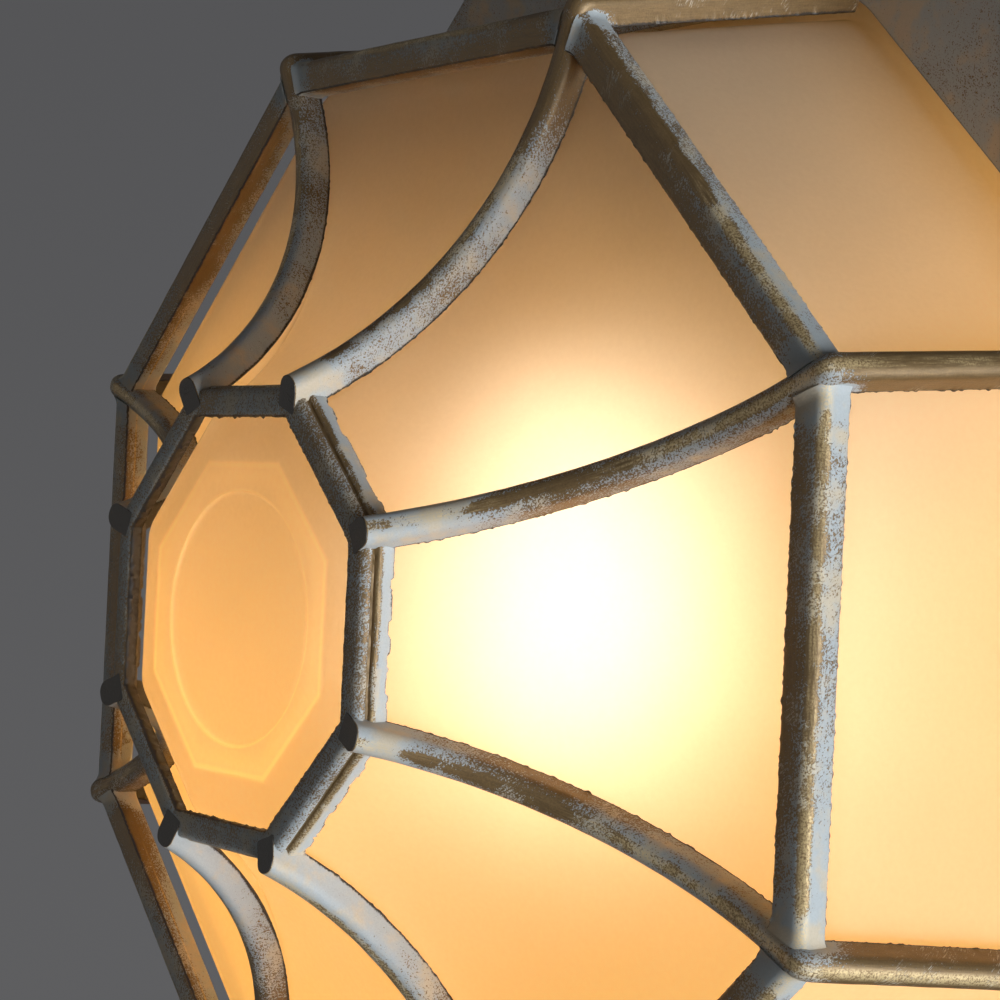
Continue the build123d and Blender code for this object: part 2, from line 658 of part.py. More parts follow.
# Bottom ring: flat front, stepped side, and a back that slopes away from the glass
RING_OUTER_APOTHEM = RING_INNER_APOTHEM + RING_FACE
RING_BACK = RING_FRONT + RING_HEIGHT
with BuildPart() as bottom_ring:
    with BuildSketch(Plane.XY.offset(RING_FRONT)):
        octagon(RING_OUTER_APOTHEM)
    extrude(amount=RING_LIP)
    with BuildSketch(Plane.XY.offset(RING_FRONT + RING_LIP)):
        octagon(RING_OUTER_APOTHEM + RING_STEP)
    extrude(amount=RING_HEIGHT - RING_LIP)
    with BuildSketch(Plane.XY.offset(RING_FRONT)):
        octagon(RING_INNER_APOTHEM)
    extrude(amount=RING_HEIGHT, mode=Mode.SUBTRACT)
    with BuildSketch(Plane.XY.offset(RING_FRONT + RING_LIP)):
        octagon(RING_INNER_APOTHEM)
    with BuildSketch(Plane.XY.offset(RING_BACK)):
        octagon(RING_OUTER_APOTHEM)
    loft(ruled=True, mode=Mode.SUBTRACT)

# Rib outline in a plane through a corner: crest from the hood up to the flange, and the back inside it
RIB_SIDE_DEPTH = RIB_DEPTH * FLARE_LENGTH
CREST_TOP = flared(EQUATOR_RADIUS, SHOULDER_Z, FLANGE_UNDER)
ARMPIT_R = flared(EQUATOR_RADIUS - RIB_SIDE_DEPTH, SHOULDER_Z, EQUATOR + RIB_DEPTH)


def arc_point(radius, r):
    """Point of the bending circle, grown to this radius, at distance r from the axis."""
    return (r, arc_height(radius, r))


def rib_at(angle):
    """One rib with a rounded crest, from its hood over the ring corner to the flange."""
    plane = turned_plane(angle)
    hood = arc_point(RIB_ARC_RADIUS, HOOD_RADIUS)
    shoulder = (EQUATOR_RADIUS, SHOULDER_Z)
    armpit = arc_point(RIB_BACK_RADIUS, ARMPIT_R)
    toe = (RIB_TOE_R, RING_FRONT)
    with BuildPart() as rib:
        with BuildSketch(plane) as outline:
            with BuildLine():
                ThreePointArc(hood, arc_point(RIB_ARC_RADIUS, (HOOD_RADIUS + EQUATOR_RADIUS) / 2), shoulder)
                Polyline(
                    shoulder,
                    (CREST_TOP, FLANGE_UNDER),
                    (CREST_TOP - RIB_SIDE_DEPTH, FLANGE_UNDER),
                    armpit,
                )
                ThreePointArc(armpit, arc_point(RIB_BACK_RADIUS, (RIB_TOE_R + ARMPIT_R) / 2), toe)
                Line(toe, hood)
            make_face()
            fillet(outline.vertices().sort_by_distance((*shoulder, 0))[0], RIB_SHOULDER)
            fillet(outline.vertices().sort_by_distance((*armpit, 0))[0], RIB_ARMPIT)
        extrude(amount=RIB_WIDTH / 2, both=True)

        def on_crest(edge):
            """Long edges on the outside of the rib."""
            middle = plane.to_local_coords(edge @ 0.5)
            if abs(abs(middle.Z) - RIB_WIDTH / 2) > FASTENER_GAP:
                return False
            near_arc = abs(math.hypot(middle.X - ARC_R, middle.Y - ARC_Z) - RIB_ARC_RADIUS) < FASTENER_GAP
            near_wall = abs(flared(EQUATOR_RADIUS, SHOULDER_Z, middle.Y) - middle.X) < FASTENER_GAP
            near_shoulder = math.hypot(middle.X - shoulder[0], middle.Y - shoulder[1]) < RIB_SHOULDER / 2
            return near_arc or near_wall or near_shoulder

        fillet(rib.edges().filter_by(on_crest), RIB_NOSE)
        add(bottom_ring.part, mode=Mode.SUBTRACT)
    return rib.part


ribs = [rib_at(SIDE_ANGLE * (n + 0.5)) for n in range(SIDES)]

# Bars between neighbouring ribs, mitred to the ribs' sides
BAR_OUTER = (EQUATOR_RADIUS - BAR_SET_BACK) * FLAT_RATIO
HALF_SLOPE = math.tan(math.radians(SIDE_ANGLE / 2))


def bar_at(angle):
    """One equatorial bar whose middle lies at this angle."""
    plane = turned_plane(angle)
    with BuildPart() as bar:
        with BuildSketch(plane) as section:
            with Locations((BAR_OUTER, EQUATOR + BAR_LIFT)):
                Rectangle(BAR_WIDTH, BAR_HEIGHT, align=(Align.MAX, Align.MIN))
            corners = section.vertices().sort_by_distance((BAR_OUTER, EQUATOR + BAR_LIFT, 0))
            fillet(corners[0], BAR_NOSE)
            fillet(corners[1:], BAR_EASE)
        extrude(amount=EQUATOR_RADIUS / 2, both=True)
        reach = EQUATOR_RADIUS
        start = RIB_WIDTH / 2 / math.sin(math.radians(SIDE_ANGLE / 2))
        half = (reach - start) * HALF_SLOPE
        with BuildSketch(Plane(origin=(0, 0, EQUATOR), x_dir=plane.x_dir)):
            with BuildLine():
                Polyline((start, 0), (reach, -half), (reach, half), close=True)
            make_face()
        extrude(amount=2 * BAR_HEIGHT, both=True, mode=Mode.INTERSECT)
    return bar.part


bars = [bar_at(SIDE_ANGLE * n) for n in range(SIDES)]

# Flange plate that carries the ribs, with the opening for the glass and the lug for the thumb screw
with BuildPart() as cage_flange:
    with BuildSketch(Plane.XY.offset(FLANGE_UNDER)):
        octagon(FLANGE_APOTHEM, FLANGE_CORNER)
        with Locations((0, LATCH_Y)):
            Circle(LATCH_LUG_RADIUS)
            Rectangle(2 * LATCH_LUG_RADIUS, 2 * LATCH_OUTSTAND, align=(Align.CENTER, Align.MIN))
    extrude(amount=FLANGE_THICKNESS)
    fillet(cage_flange.faces().sort_by(Axis.Z)[0].edges(), FLANGE_EASE)
    with BuildSketch(Plane.XY.offset(FLANGE_UNDER)):
        octagon(FLANGE_OPENING_APOTHEM, FLANGE_OPENING_CORNER)
    extrude(amount=FLANGE_THICKNESS, mode=Mode.SUBTRACT)
    clear_holes([facing(0, LATCH_Y, FLANGE_TOP, (0, 0, 1))], 2 * FLANGE_THICKNESS, LATCH_HOLE_RADIUS)
    clear_holes(CLIP_PLACES, 2 * FLANGE_THICKNESS)
    clear_holes(SHADE_LEAF_PLACES, 2 * FLANGE_THICKNESS)

# Glass bowl: concave facets below the equator, flaring facets above it, and a rim that rests on the flange
GLASS_RADIUS = RIB_BACK_RADIUS + GLASS_GAP_UNDER
GLASS_FLOOR = RING_FRONT + GLASS_FLOOR_LIFT
GLASS_SPAN = 2 * EQUATOR_RADIUS


def glass_moulding(inset, top, rim):
    """Outline from the axis to a flat, moved in by inset, with any further points of the rim."""
    radius = GLASS_RADIUS + inset
    floor = GLASS_FLOOR + inset
    side = (RIB_DEPTH + GLASS_GAP_SIDE + inset) * FLARE_LENGTH
    wall_r = flared(EQUATOR_RADIUS - side, SHOULDER_Z, ARC_Z + radius)
    wall_z = arc_height(radius, wall_r)
    foot_r = arc_reach(radius, floor)
    middle = arc_point(radius, (foot_r + wall_r) / 2)
    foot = (foot_r * FLAT_RATIO, floor)
    wall = (wall_r * FLAT_RATIO, wall_z)
    fold = (flared(wall_r, wall_z, top) * FLAT_RATIO, top)
    with BuildSketch(mode=Mode.PRIVATE) as half:
        with BuildLine():
            Line((0, floor), foot)
            ThreePointArc(foot, (middle[0] * FLAT_RATIO, middle[1]), wall)
            Polyline(wall, fold, *rim, (0, GLASS_RIM_TOP), (0, floor))
        make_face()
        fillet(half.vertices().sort_by_distance((*foot, 0))[0], GLASS_FLOOR_ROUNDING + inset)
        fillet(half.vertices().sort_by_distance((*wall, 0))[0], GLASS_EQUATOR_ROUNDING - inset)
        if rim:
            fillet(half.vertices().sort_by_distance((*fold, 0))[0], GLASS_FOLD_ROUNDING)
    return half.sketch


def eightfold(outline):
    """Solid whose every level is an octagon, joined from eight wedges of one outline."""
    half = GLASS_SPAN * HALF_SLOPE
    wedges = []
    for n in range(SIDES):
        plane = turned_plane(SIDE_ANGLE * n)
        with BuildPart() as wedge:
            with BuildSketch(plane):
                add(outline)
            extrude(amount=GLASS_SPAN, both=True)
            with BuildSketch(Plane(origin=(0, 0, GLASS_FLOOR), x_dir=plane.x_dir)):
                with BuildLine():
                    Polyline((0, 0), (GLASS_SPAN, -half), (GLASS_SPAN, half), close=True)
                make_face()
            extrude(amount=GLASS_SPAN, both=True, mode=Mode.INTERSECT)
        wedges.append(wedge.part)
    with BuildPart() as whole:
        add(wedges)
    return whole.part


GLASS_RIM = [(GLASS_RIM_APOTHEM, GLASS_RIM_UNDER), (GLASS_RIM_APOTHEM, GLASS_RIM_TOP)]
glass_outside = eightfold(glass_moulding(0, GLASS_RIM_UNDER, GLASS_RIM))
glass_inside = eightfold(glass_moulding(GLASS_THICKNESS, GLASS_RIM_TOP, []))
with BuildPart() as glass_bowl:
    add(glass_outside)
    with BuildSketch(Plane.XY.offset(GLASS_FLOOR)):
        octagon(GLASS_RIM_APOTHEM, FLANGE_OPENING_CORNER)
    extrude(amount=GLASS_RIM_TOP - GLASS_FLOOR, mode=Mode.INTERSECT)
    add(glass_inside, mode=Mode.SUBTRACT)
    with Locations((0, 0, GLASS_FLOOR)):
        Cylinder(GLASS_DISC_RADIUS, 2 * GLASS_DISC_DEPTH, mode=Mode.SUBTRACT)

# Silicone ring under the glass rim
with BuildPart() as glass_gasket:
    octagon_band(
        GLASS_RIM_APOTHEM,
        GLASS_RIM_APOTHEM - GLASS_GASKET_WIDTH,
        FLANGE_TOP,
        GLASS_RIM_UNDER,
        FLANGE_OPENING_CORNER,
        FLANGE_OPENING_CORNER,
    )

# Spring clips that hold the rim down, and their screws
with BuildPart() as glass_clips:
    for clip_angle in CLIP_ANGLES:
        with BuildSketch(turned_plane(clip_angle)):
            with BuildLine():
                Polyline(
                    (CLIP_RISER, FLANGE_TOP),
                    (CLIP_RISER, GLASS_RIM_TOP),
                    (GLASS_RIM_APOTHEM - CLIP_GRIP, GLASS_RIM_TOP),
                    (GLASS_RIM_APOTHEM - CLIP_GRIP, GLASS_RIM_TOP + CLIP_THICKNESS),
                    (CLIP_RISER + CLIP_THICKNESS, GLASS_RIM_TOP + CLIP_THICKNESS),
                    (CLIP_RISER + CLIP_THICKNESS, FLANGE_TOP + CLIP_THICKNESS),
                    (CLIP_END, FLANGE_TOP + CLIP_THICKNESS),
                    (CLIP_END, FLANGE_TOP),
                    close=True,
                )
            make_face()
        extrude(amount=CLIP_WIDTH / 2, both=True)
    clear_holes(CLIP_PLACES, 2 * CLIP_THICKNESS)

clip_screws = small_screws(CLIP_PLACES, CLIP_THICKNESS + FLANGE_THICKNESS)

# Hinge leaf on the tray, with a knuckle at each end
KNUCKLE_START = KNUCKLE_LENGTH / 2 + KNUCKLE_GAP
OUTER_KNUCKLE = LEAF_LENGTH / 2 - KNUCKLE_START
HINGE_CENTRE = (HINGE_Y, HINGE_Z)
with BuildPart() as hinge_base_leaf:
    with BuildSketch(Plane.YZ):
        with BuildLine():
            Polyline(
                (TRAY_APOTHEM, TRAY_RIM_TOP),
                (TRAY_RIM_APOTHEM, TRAY_RIM_TOP),
                (TRAY_RIM_APOTHEM, TRAY_RIM_TOP + LEAF),
                (TRAY_APOTHEM + LEAF, TRAY_RIM_TOP + LEAF),
                (TRAY_APOTHEM + LEAF, TRAY_RIM_TOP + LEAF + LEAF_UPSTAND),
                (TRAY_APOTHEM, TRAY_RIM_TOP + LEAF + LEAF_UPSTAND),
                close=True,
            )
        make_face()
    extrude(amount=LEAF_LENGTH / 2, both=True)
    for start in (KNUCKLE_START, -LEAF_LENGTH / 2):
        with BuildSketch(Plane.YZ.offset(start)):
            with Locations(HINGE_CENTRE):
                Circle(KNUCKLE_RADIUS)
            with Locations((TRAY_RIM_APOTHEM, TRAY_RIM_TOP)):
                Rectangle(HINGE_Y - TRAY_RIM_APOTHEM, LEAF, align=(Align.MIN, Align.MIN))
            with Locations(HINGE_CENTRE):
                Circle(HINGE_PIN_RADIUS + HINGE_RUNNING_GAP, mode=Mode.SUBTRACT)
        extrude(amount=OUTER_KNUCKLE)
    clear_holes(BASE_LEAF_PLACES, 2 * LEAF)

base_leaf_screws = small_screws(BASE_LEAF_PLACES, LEAF + TRAY_WALL)

# Hinge leaf under the flange, curled round the pin between the other knuckles
LEAF_BOTTOM = FLANGE_UNDER - LEAF
with BuildPart() as hinge_shade_leaf:
    with BuildSketch(Plane.YZ):
        with Locations((FLANGE_APOTHEM - SHADE_LEAF_REACH, LEAF_BOTTOM)):
            Rectangle(
                SHADE_LEAF_REACH + HINGE_OUTSTAND + KNUCKLE_RADIUS,
                LEAF,
                align=(Align.MIN, Align.MIN),
            )
    extrude(amount=LEAF_LENGTH / 2, both=True)
    with BuildSketch(Plane.YZ):
        with Locations(HINGE_CENTRE):
            Circle(KNUCKLE_RADIUS)
        with Locations((HINGE_Y + KNUCKLE_RADIUS, LEAF_BOTTOM)):
            Rectangle(LEAF, HINGE_Z - LEAF_BOTTOM, align=(Align.MAX, Align.MIN))
        with Locations(HINGE_CENTRE):
            Circle(HINGE_PIN_RADIUS + HINGE_RUNNING_GAP, mode=Mode.SUBTRACT)
    extrude(amount=KNUCKLE_LENGTH / 2, both=True)
    clear_holes(SHADE_LEAF_PLACES, 2 * LEAF)

shade_leaf_screws = small_screws(SHADE_LEAF_PLACES, LEAF + FLANGE_THICKNESS)

# Hinge pin with a rivet head at each end
with BuildPart() as hinge_pin:
    with BuildSketch(Plane.YZ):
        with Locations(HINGE_CENTRE):
            Circle(HINGE_PIN_RADIUS)
    extrude(amount=LEAF_LENGTH / 2 + PIN_HEAD_LENGTH, both=True)
    for start in (LEAF_LENGTH / 2 + FASTENER_GAP, -LEAF_LENGTH / 2 - FASTENER_GAP - PIN_HEAD_LENGTH):
        with BuildSketch(Plane.YZ.offset(start)):
            with Locations(HINGE_CENTRE):
                Circle(PIN_HEAD_RADIUS)
        extrude(amount=PIN_HEAD_LENGTH)

# Latch bracket on the tray, with the threaded bush that takes the thumb screw
with BuildPart() as latch_bracket:
    with BuildSketch(Plane.XY.offset(TRAY_RIM_TOP)):
        with Locations((0, LATCH_Y)):
            Circle(LATCH_LUG_RADIUS)
        with Locations((0, -TRAY_APOTHEM)):
            Rectangle(LATCH_WIDTH, TRAY_RIM_WIDTH, align=(Align.CENTER, Align.MAX))
            Rectangle(2 * LATCH_LUG_RADIUS, -LATCH_Y - TRAY_APOTHEM, align=(Align.CENTER, Align.MAX))
    extrude(amount=LEAF)
    with BuildSketch(Plane.XY.offset(TRAY_RIM_TOP + LEAF)):
        with Locations((0, LATCH_Y)):
            Circle(LATCH_BUSH_RADIUS)
    extrude(amount=LATCH_BUSH_HEIGHT)
    with BuildSketch(Plane.XY.offset(TRAY_RIM_TOP + LEAF)):
        with Locations((0, -TRAY_APOTHEM)):
            Rectangle(LATCH_WIDTH, LEAF, align=(Align.CENTER, Align.MAX))
    extrude(amount=LEAF_UPSTAND)
    clear_holes(
        [facing(0, LATCH_Y, TRAY_RIM_TOP, (0, 0, 1))], 2 * (LEAF + LATCH_BUSH_HEIGHT), LATCH_THREAD_CREST
    )
    clear_holes(RIVET_PLACES, 2 * LEAF)

# Rivets of the latch bracket
with BuildPart() as latch_rivets:
    with Locations(*RIVET_PLACES):
        Cylinder(SMALL_SHANK_RADIUS, LEAF + TRAY_WALL, align=(Align.CENTER, Align.CENTER, Align.MAX))
        Cylinder(SMALL_HEAD_RADIUS, SMALL_HEAD_HEIGHT / 2, align=(Align.CENTER, Align.CENTER, Align.MIN))

# Thumb screw with a grooved knob below the lug, and its washer
KNOB_TOP = FLANGE_UNDER - LATCH_WASHER_THICKNESS
SCREW_TIP = TRAY_RIM_TOP + LEAF + LATCH_BUSH_HEIGHT - LATCH_TIP_SHORT
with BuildPart() as latch_screw:
    with Locations((0, LATCH_Y, KNOB_TOP)):
        Cylinder(LATCH_KNOB_RADIUS, LATCH_KNOB_HEIGHT, align=(Align.CENTER, Align.CENTER, Align.MAX))
    fillet(latch_screw.edges().filter_by(GeomType.CIRCLE), LATCH_KNOB_GROOVE_RADIUS)
    with Locations((0, LATCH_Y, KNOB_TOP)):
        with PolarLocations(LATCH_KNOB_RADIUS, LATCH_KNOB_GROOVES):
            Cylinder(
                LATCH_KNOB_GROOVE_RADIUS,
                LATCH_KNOB_HEIGHT,
                align=(Align.CENTER, Align.CENTER, Align.MAX),
                mode=Mode.SUBTRACT,
            )
        Cylinder(LATCH_THREAD_ROOT, SCREW_TIP - KNOB_TOP, align=(Align.CENTER, Align.CENTER, Align.MIN))

with BuildPart() as latch_washer:
    with BuildSketch(Plane.XY.offset(KNOB_TOP)):
        with Locations((0, LATCH_Y)):
            Circle(LATCH_WASHER_RADIUS)
            Circle(LATCH_THREAD_ROOT + FASTENER_GAP, mode=Mode.SUBTRACT)
    extrude(amount=LATCH_WASHER_THICKNESS)

# One file for each piece
pieces = {
    "base_tray": base_tray.part,
    "ceiling_gasket": ceiling_gasket.part,
    "tray_seal": tray_seal.part,
    "sealing_washers": sealing_washers.part,
    "cable_grommet": cable_grommet.part,
    "terminal_block": terminal_block.part,
    "pole_screws": pole_screws,
    "block_screws": block_screws,
    "earth_pillar": earth_pillar.part,
    "earth_lug": earth_lug.part,
    "earth_screw": earth_screw,
    "live_wire": live_wire,
    "neutral_wire": neutral_wire,
    "earth_wire": earth_wire,
    "lampholder_body": lampholder_body.part,
    "lampholder_shell": lampholder_shell.part,
    "lampholder_contact": lampholder_contact.part,
    "lampholder_bracket": lampholder_bracket.part,
    "bracket_screws": bracket_screws,
    "holder_screws": holder_screws,
    "hinge_base_leaf": hinge_base_leaf.part,
    "base_leaf_screws": base_leaf_screws,
    "hinge_pin": hinge_pin.part,
    "latch_bracket": latch_bracket.part,
    "latch_rivets": latch_rivets.part,
    "lamp_envelope": lamp_envelope.part,
    "lamp_cap": lamp_cap.part,
    "lamp_contact": lamp_contact.part,
    "cage_flange": cage_flange.part,
    "bottom_ring": bottom_ring.part,
    "glass_bowl": glass_bowl.part,
    "glass_gasket": glass_gasket.part,
    "glass_clips": glass_clips.part,
    "clip_screws": clip_screws,
    "hinge_shade_leaf": hinge_shade_leaf.part,
    "shade_leaf_screws": shade_leaf_screws,
    "latch_screw": latch_screw.part,
    "latch_washer": latch_washer.part,
}
for n in range(SIDES):
    pieces[f"rib_{n + 1}"] = ribs[n]
    pieces[f"bar_{n + 1}"] = bars[n]

os.makedirs("parts", exist_ok=True)
for name, piece in pieces.items():
    piece.label = name
    export_step(piece, f"parts/{name}.step")
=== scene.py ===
"""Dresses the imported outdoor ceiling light: cast cage, moulded glass, lamp, fittings and the stage."""

import math

import bmesh
import bpy
from mathutils import Matrix, Vector, noise


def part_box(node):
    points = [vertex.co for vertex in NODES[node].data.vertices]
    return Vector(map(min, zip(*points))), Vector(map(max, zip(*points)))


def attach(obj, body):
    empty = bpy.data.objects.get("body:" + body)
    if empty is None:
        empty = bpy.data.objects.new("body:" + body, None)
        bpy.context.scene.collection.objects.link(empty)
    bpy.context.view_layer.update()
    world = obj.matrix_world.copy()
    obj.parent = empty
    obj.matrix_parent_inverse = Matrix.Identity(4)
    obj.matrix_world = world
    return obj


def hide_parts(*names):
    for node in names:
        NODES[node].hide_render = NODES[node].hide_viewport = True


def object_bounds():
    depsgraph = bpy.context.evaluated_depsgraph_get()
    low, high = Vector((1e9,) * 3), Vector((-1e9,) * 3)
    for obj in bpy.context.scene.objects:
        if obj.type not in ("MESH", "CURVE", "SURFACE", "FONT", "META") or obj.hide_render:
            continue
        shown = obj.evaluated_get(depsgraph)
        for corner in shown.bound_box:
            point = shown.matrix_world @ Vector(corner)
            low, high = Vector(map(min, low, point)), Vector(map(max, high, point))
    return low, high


bl_info = {
    "name": "Outdoor ceiling light",
    "version": (1, 0, 0),
    "blender": (4, 5, 0),
    "location": "3D View > Sidebar > Ceiling light",
    "description": "Builds the cast cage, the moulded glass and the fittings round the packed light",
    "category": "Object",
}

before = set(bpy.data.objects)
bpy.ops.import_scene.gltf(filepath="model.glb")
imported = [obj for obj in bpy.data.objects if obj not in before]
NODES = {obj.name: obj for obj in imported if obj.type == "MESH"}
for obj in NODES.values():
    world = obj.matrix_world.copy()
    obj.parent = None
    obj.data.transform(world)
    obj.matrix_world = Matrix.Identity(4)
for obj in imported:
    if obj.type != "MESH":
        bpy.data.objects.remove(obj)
CAD_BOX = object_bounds()

# Without a seed of its own, the castings' unevenness would start from the clock.
CASTING_SEED = 8
noise.seed_set(CASTING_SEED)

SIDES = 8
HALF_SIDE = math.pi / SIDES
FLAT_RATIO = math.cos(HALF_SIDE)
HALF_SLOPE = math.tan(HALF_SIDE)
FLANGE_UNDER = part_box("cage_flange")[0].z
RING_LOW, RING_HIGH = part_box("bottom_ring")
HOOD_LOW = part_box("rib_1")[0].z
GLASS_LOW, GLASS_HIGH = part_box("glass_bowl")
CAP_LOW, CAP_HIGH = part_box("lamp_cap")
ENVELOPE_LOW, ENVELOPE_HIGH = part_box("lamp_envelope")
SCREW_LOW, SCREW_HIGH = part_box("latch_screw")
LAMP_HEIGHT = (ENVELOPE_LOW.z + ENVELOPE_HIGH.z) / 2
LATCH_Y = (SCREW_LOW.y + SCREW_HIGH.y) / 2


def length(name, description, default):
    """A size in metres."""
    return bpy.props.FloatProperty(
        name=name, description=description, default=default, unit="LENGTH", precision=5
    )


def number(name, description, default, low=0.0, high=1.0):
    """A plain number between two limits."""
    return bpy.props.FloatProperty(name=name, description=description, default=default, min=low, max=high)


def colour(name, description, default):
    """A linear colour."""
    return bpy.props.FloatVectorProperty(
        name=name, description=description, default=default, subtype="COLOR", size=3, min=0.0, max=1.0
    )


def direction(name, description, default):
    """A point or a direction in the part's frame."""
    return bpy.props.FloatVectorProperty(
        name=name, description=description, default=default, subtype="XYZ", size=3, precision=5
    )


class CageSizes(bpy.types.PropertyGroup):
    """Sizes of the cast cage."""

    equator_radius: length("Equator radius", "From the axis to a corner of the cage", 0.125)
    equator_height: length("Equator height", "Height of the bars' corner", -0.0935)
    arc_inset: length("Arc inset", "How far inside the corner the ribs' circle is centred", 0.0125)
    arc_radius: length("Arc radius", "Radius of the ribs' concave crest", 0.07375)
    rib_depth: length("Rib depth", "From the crest of a rib to its back", 0.0062)
    rib_width: length("Rib width", "Across a rib", 0.0052)
    rib_nose: length("Rib nose", "Rounding of the crest", 0.0023)
    rib_flare: number("Rib flare", "How far the upper ribs lean out for each metre of rise", 0.22)
    shoulder: length("Shoulder", "Rounding of the crest at the corner", 0.004)
    armpit: length("Armpit", "Rounding of the back at the corner", 0.002)
    hood_radius: length("Hood radius", "From the axis to the tip of a rib's hooded end", 0.048105)
    bar_width: length("Bar width", "A bar across its underside", 0.0072)
    bar_height: length("Bar height", "A bar up its outer face", 0.006)
    bar_nose: length("Bar nose", "Rounding of a bar's lower outer edge", 0.0024)
    bar_ease: length("Bar ease", "Rounding of a bar's other edges", 0.001)
    bar_set_back: length("Bar set-back", "How far a bar stands behind the ribs' crest", 0.0013)
    bar_lift: length("Bar lift", "How far a bar stands above the corner", 0.0005)
    bar_bite: length("Bar bite", "How far a bar's end runs into the side of a rib", 0.0007)
    weld: length("Weld", "How far a bar swells where it runs into a rib", 0.0007)
    weld_length: length("Weld length", "Length of that swelling", 0.0022)
    ring_face: length("Ring face", "Width of the ring's flat front", 0.0053)
    ring_lip: length("Ring lip", "Height of the ring's front band", 0.0023)
    ring_step: length("Ring step", "How far the ridge stands out behind the front band", 0.0007)
    burr: length("Burr", "Height of the casting burrs on the back edges", 0.0005)
    flake: length("Flake", "Depth of the broken paint film on the ring's ridge", 0.0010)


class GlassSizes(bpy.types.PropertyGroup):
    """Sizes of the moulded bowl."""

    thickness: length("Thickness", "Wall of the bowl", 0.0035)
    gap_under: length("Gap under", "Between the ribs and the lower facets", 0.0015)
    gap_side: length("Gap side", "Between the ribs and the upper facets", 0.0018)
    floor_round: length("Floor rounding", "Between the base and the lower facets", 0.014)
    equator_round: length("Equator rounding", "Between the lower and the upper facets", 0.0095)
    fold_round: length("Fold rounding", "Between the upper facets and the rim", 0.003)
    facet_round: length("Facet rounding", "Rounding of the edges between facets", 0.005)
    rim_under: length("Rim underside", "Height of the underside of the rim", -0.0225)
    rim_corner: length("Rim corner", "Corner rounding of the rim", 0.018)
    disc_radius: length("Disc radius", "Radius of the pressed disc in the base", 0.02375)
    disc_depth: length("Disc depth", "Depth of the pressed disc", 0.0007)


class FittingSizes(bpy.types.PropertyGroup):
    """Sizes of the threads and the knob."""

    cap_pitch: length("Cap pitch", "Pitch of the lamp cap's rolled thread", 0.00362)
    cap_thread: length("Cap thread", "Depth of the lamp cap's thread", 0.0008)
    screw_pitch: length("Screw pitch", "Pitch of the thumb screw", 0.0007)
    screw_crest: length("Screw crest", "Outer radius of the thumb screw's thread", 0.00197)
    screw_root: length("Screw root", "Inner radius of the thumb screw's thread", 0.0016)
    knob_height: length("Knob height", "Height of the knob", 0.009)
    knob_round: length("Knob rounding", "Rounding of the knob's rims", 0.0008)
    knob_grooves: bpy.props.IntProperty(
        name="Knob grooves", description="Grooves round the knob", default=16, min=3, max=60
    )


class Finishes(bpy.types.PropertyGroup):
    """Colours of the finishes."""

    pale: colour("Pale paint", "Blue-grey paint brushed over the casting", (0.42, 0.46, 0.48))
    cream: colour("Cream paint", "Warm patches in the pale paint", (0.54, 0.47, 0.36))
    brown: colour("Brown ground", "Dark bronze ground under the paint", (0.34, 0.215, 0.09))
    gold: colour("Gold rub", "Gold rubbed on the crests", (0.80, 0.62, 0.33))
    # The dark edge colour is partly painted shade: it fills the ribs' cut ends, which face away from the
    # light; elsewhere it darkens bare edges.
    edge_wear_and_shade: colour("Dark edge", "Bare dark edges of the casting", (0.022, 0.016, 0.011))
    glass: colour("Glass", "Tint of the frosted glass", (0.75, 0.65, 0.51))
    # Painted light: the glass glows by itself in these colours, bright ahead of the lamp and falling to
    # painted shade behind it.
    painted_glow_near: colour("Glow near", "Glow of the glass ahead of the lamp", (1.0, 0.49, 0.09))
    painted_glow_far: colour("Glow far", "Glow of the glass behind the lamp", (0.02, 0.01, 0.003))
    lamp: colour("Lamp", "Light of the lamp", (1.0, 0.95, 0.88))


class StageSettings(bpy.types.PropertyGroup):
    """Camera, light and background."""

    camera_place: direction("Camera place", "Where the camera stands", (0.02217, 0.38191, -0.36822))
    camera_aim: direction("Camera aim", "What the camera looks at", (0.02436, 0.01277, -0.07746))
    camera_roll: bpy.props.FloatProperty(
        name="Camera roll",
        description="Turn about the line of sight",
        default=math.radians(92.939),
        subtype="ANGLE",
    )
    lens: number("Lens", "Focal length in millimetres", 86.915, 10.0, 300.0)
    window: direction("Window", "Direction from the light to the soft window", (-0.28, 0.90, 0.08))
    window_distance: length("Window distance", "How far away the window light stands", 1.8)
    window_power: number("Window power", "Power of the window light in watts", 9.5, 0.0, 500.0)
    fill: direction("Fill", "Direction from the light to the soft fill above it", (-0.10, -0.25, 0.96))
    fill_power: number("Fill power", "Power of the fill light in watts", 2.5, 0.0, 500.0)
    ambient: number("Ambient", "Strength of the light from all sides", 0.030)
    floor_height: length("Floor height", "Height of the pale floor", -1.5)
    floor_colour: colour("Floor colour", "Colour of the pale floor", (0.60, 0.59, 0.57))
    floor_glow: number("Floor glow", "How brightly the floor shows behind the light", 0.55)


def arc_centre(cage):
    """Centre of the circle that ribs and glass bend along, in a plane through the axis."""
    return Vector((cage.equator_radius - cage.arc_inset, cage.equator_height - cage.arc_radius))


def arc_height(cage, radius, r):
    """Height of that circle, grown to this radius, at distance r from the axis."""
    centre = arc_centre(cage)
    return centre.y + math.sqrt(radius**2 - (r - centre.x) ** 2)


def arc_reach(cage, radius, z):
    """Distance from the axis of that circle, grown to this radius, at height z."""
    centre = arc_centre(cage)
    return centre.x - math.sqrt(radius**2 - (z - centre.y) ** 2)


def shoulder_height(cage):
    """Height of the corner where the ribs turn from the concave arc into the flaring wall."""
    return arc_height(cage, cage.arc_radius, cage.equator_radius)


def flared(cage, r, from_z, to_z):
    """Distance from the axis at to_z on a wall that flares from r at from_z."""
    return r + cage.rib_flare * (to_z - from_z)


def curve_through(before, corner, after, count):
    """Points that round a corner."""
    shares = [n / count for n in range(count + 1)]
    return [before * (1 - t) ** 2 + corner * 2 * t * (1 - t) + after * t * t for t in shares]


def straight(start, end, count):
    """Points along a line, without its first."""
    return [start.lerp(end, (n + 1) / count) for n in range(count)]


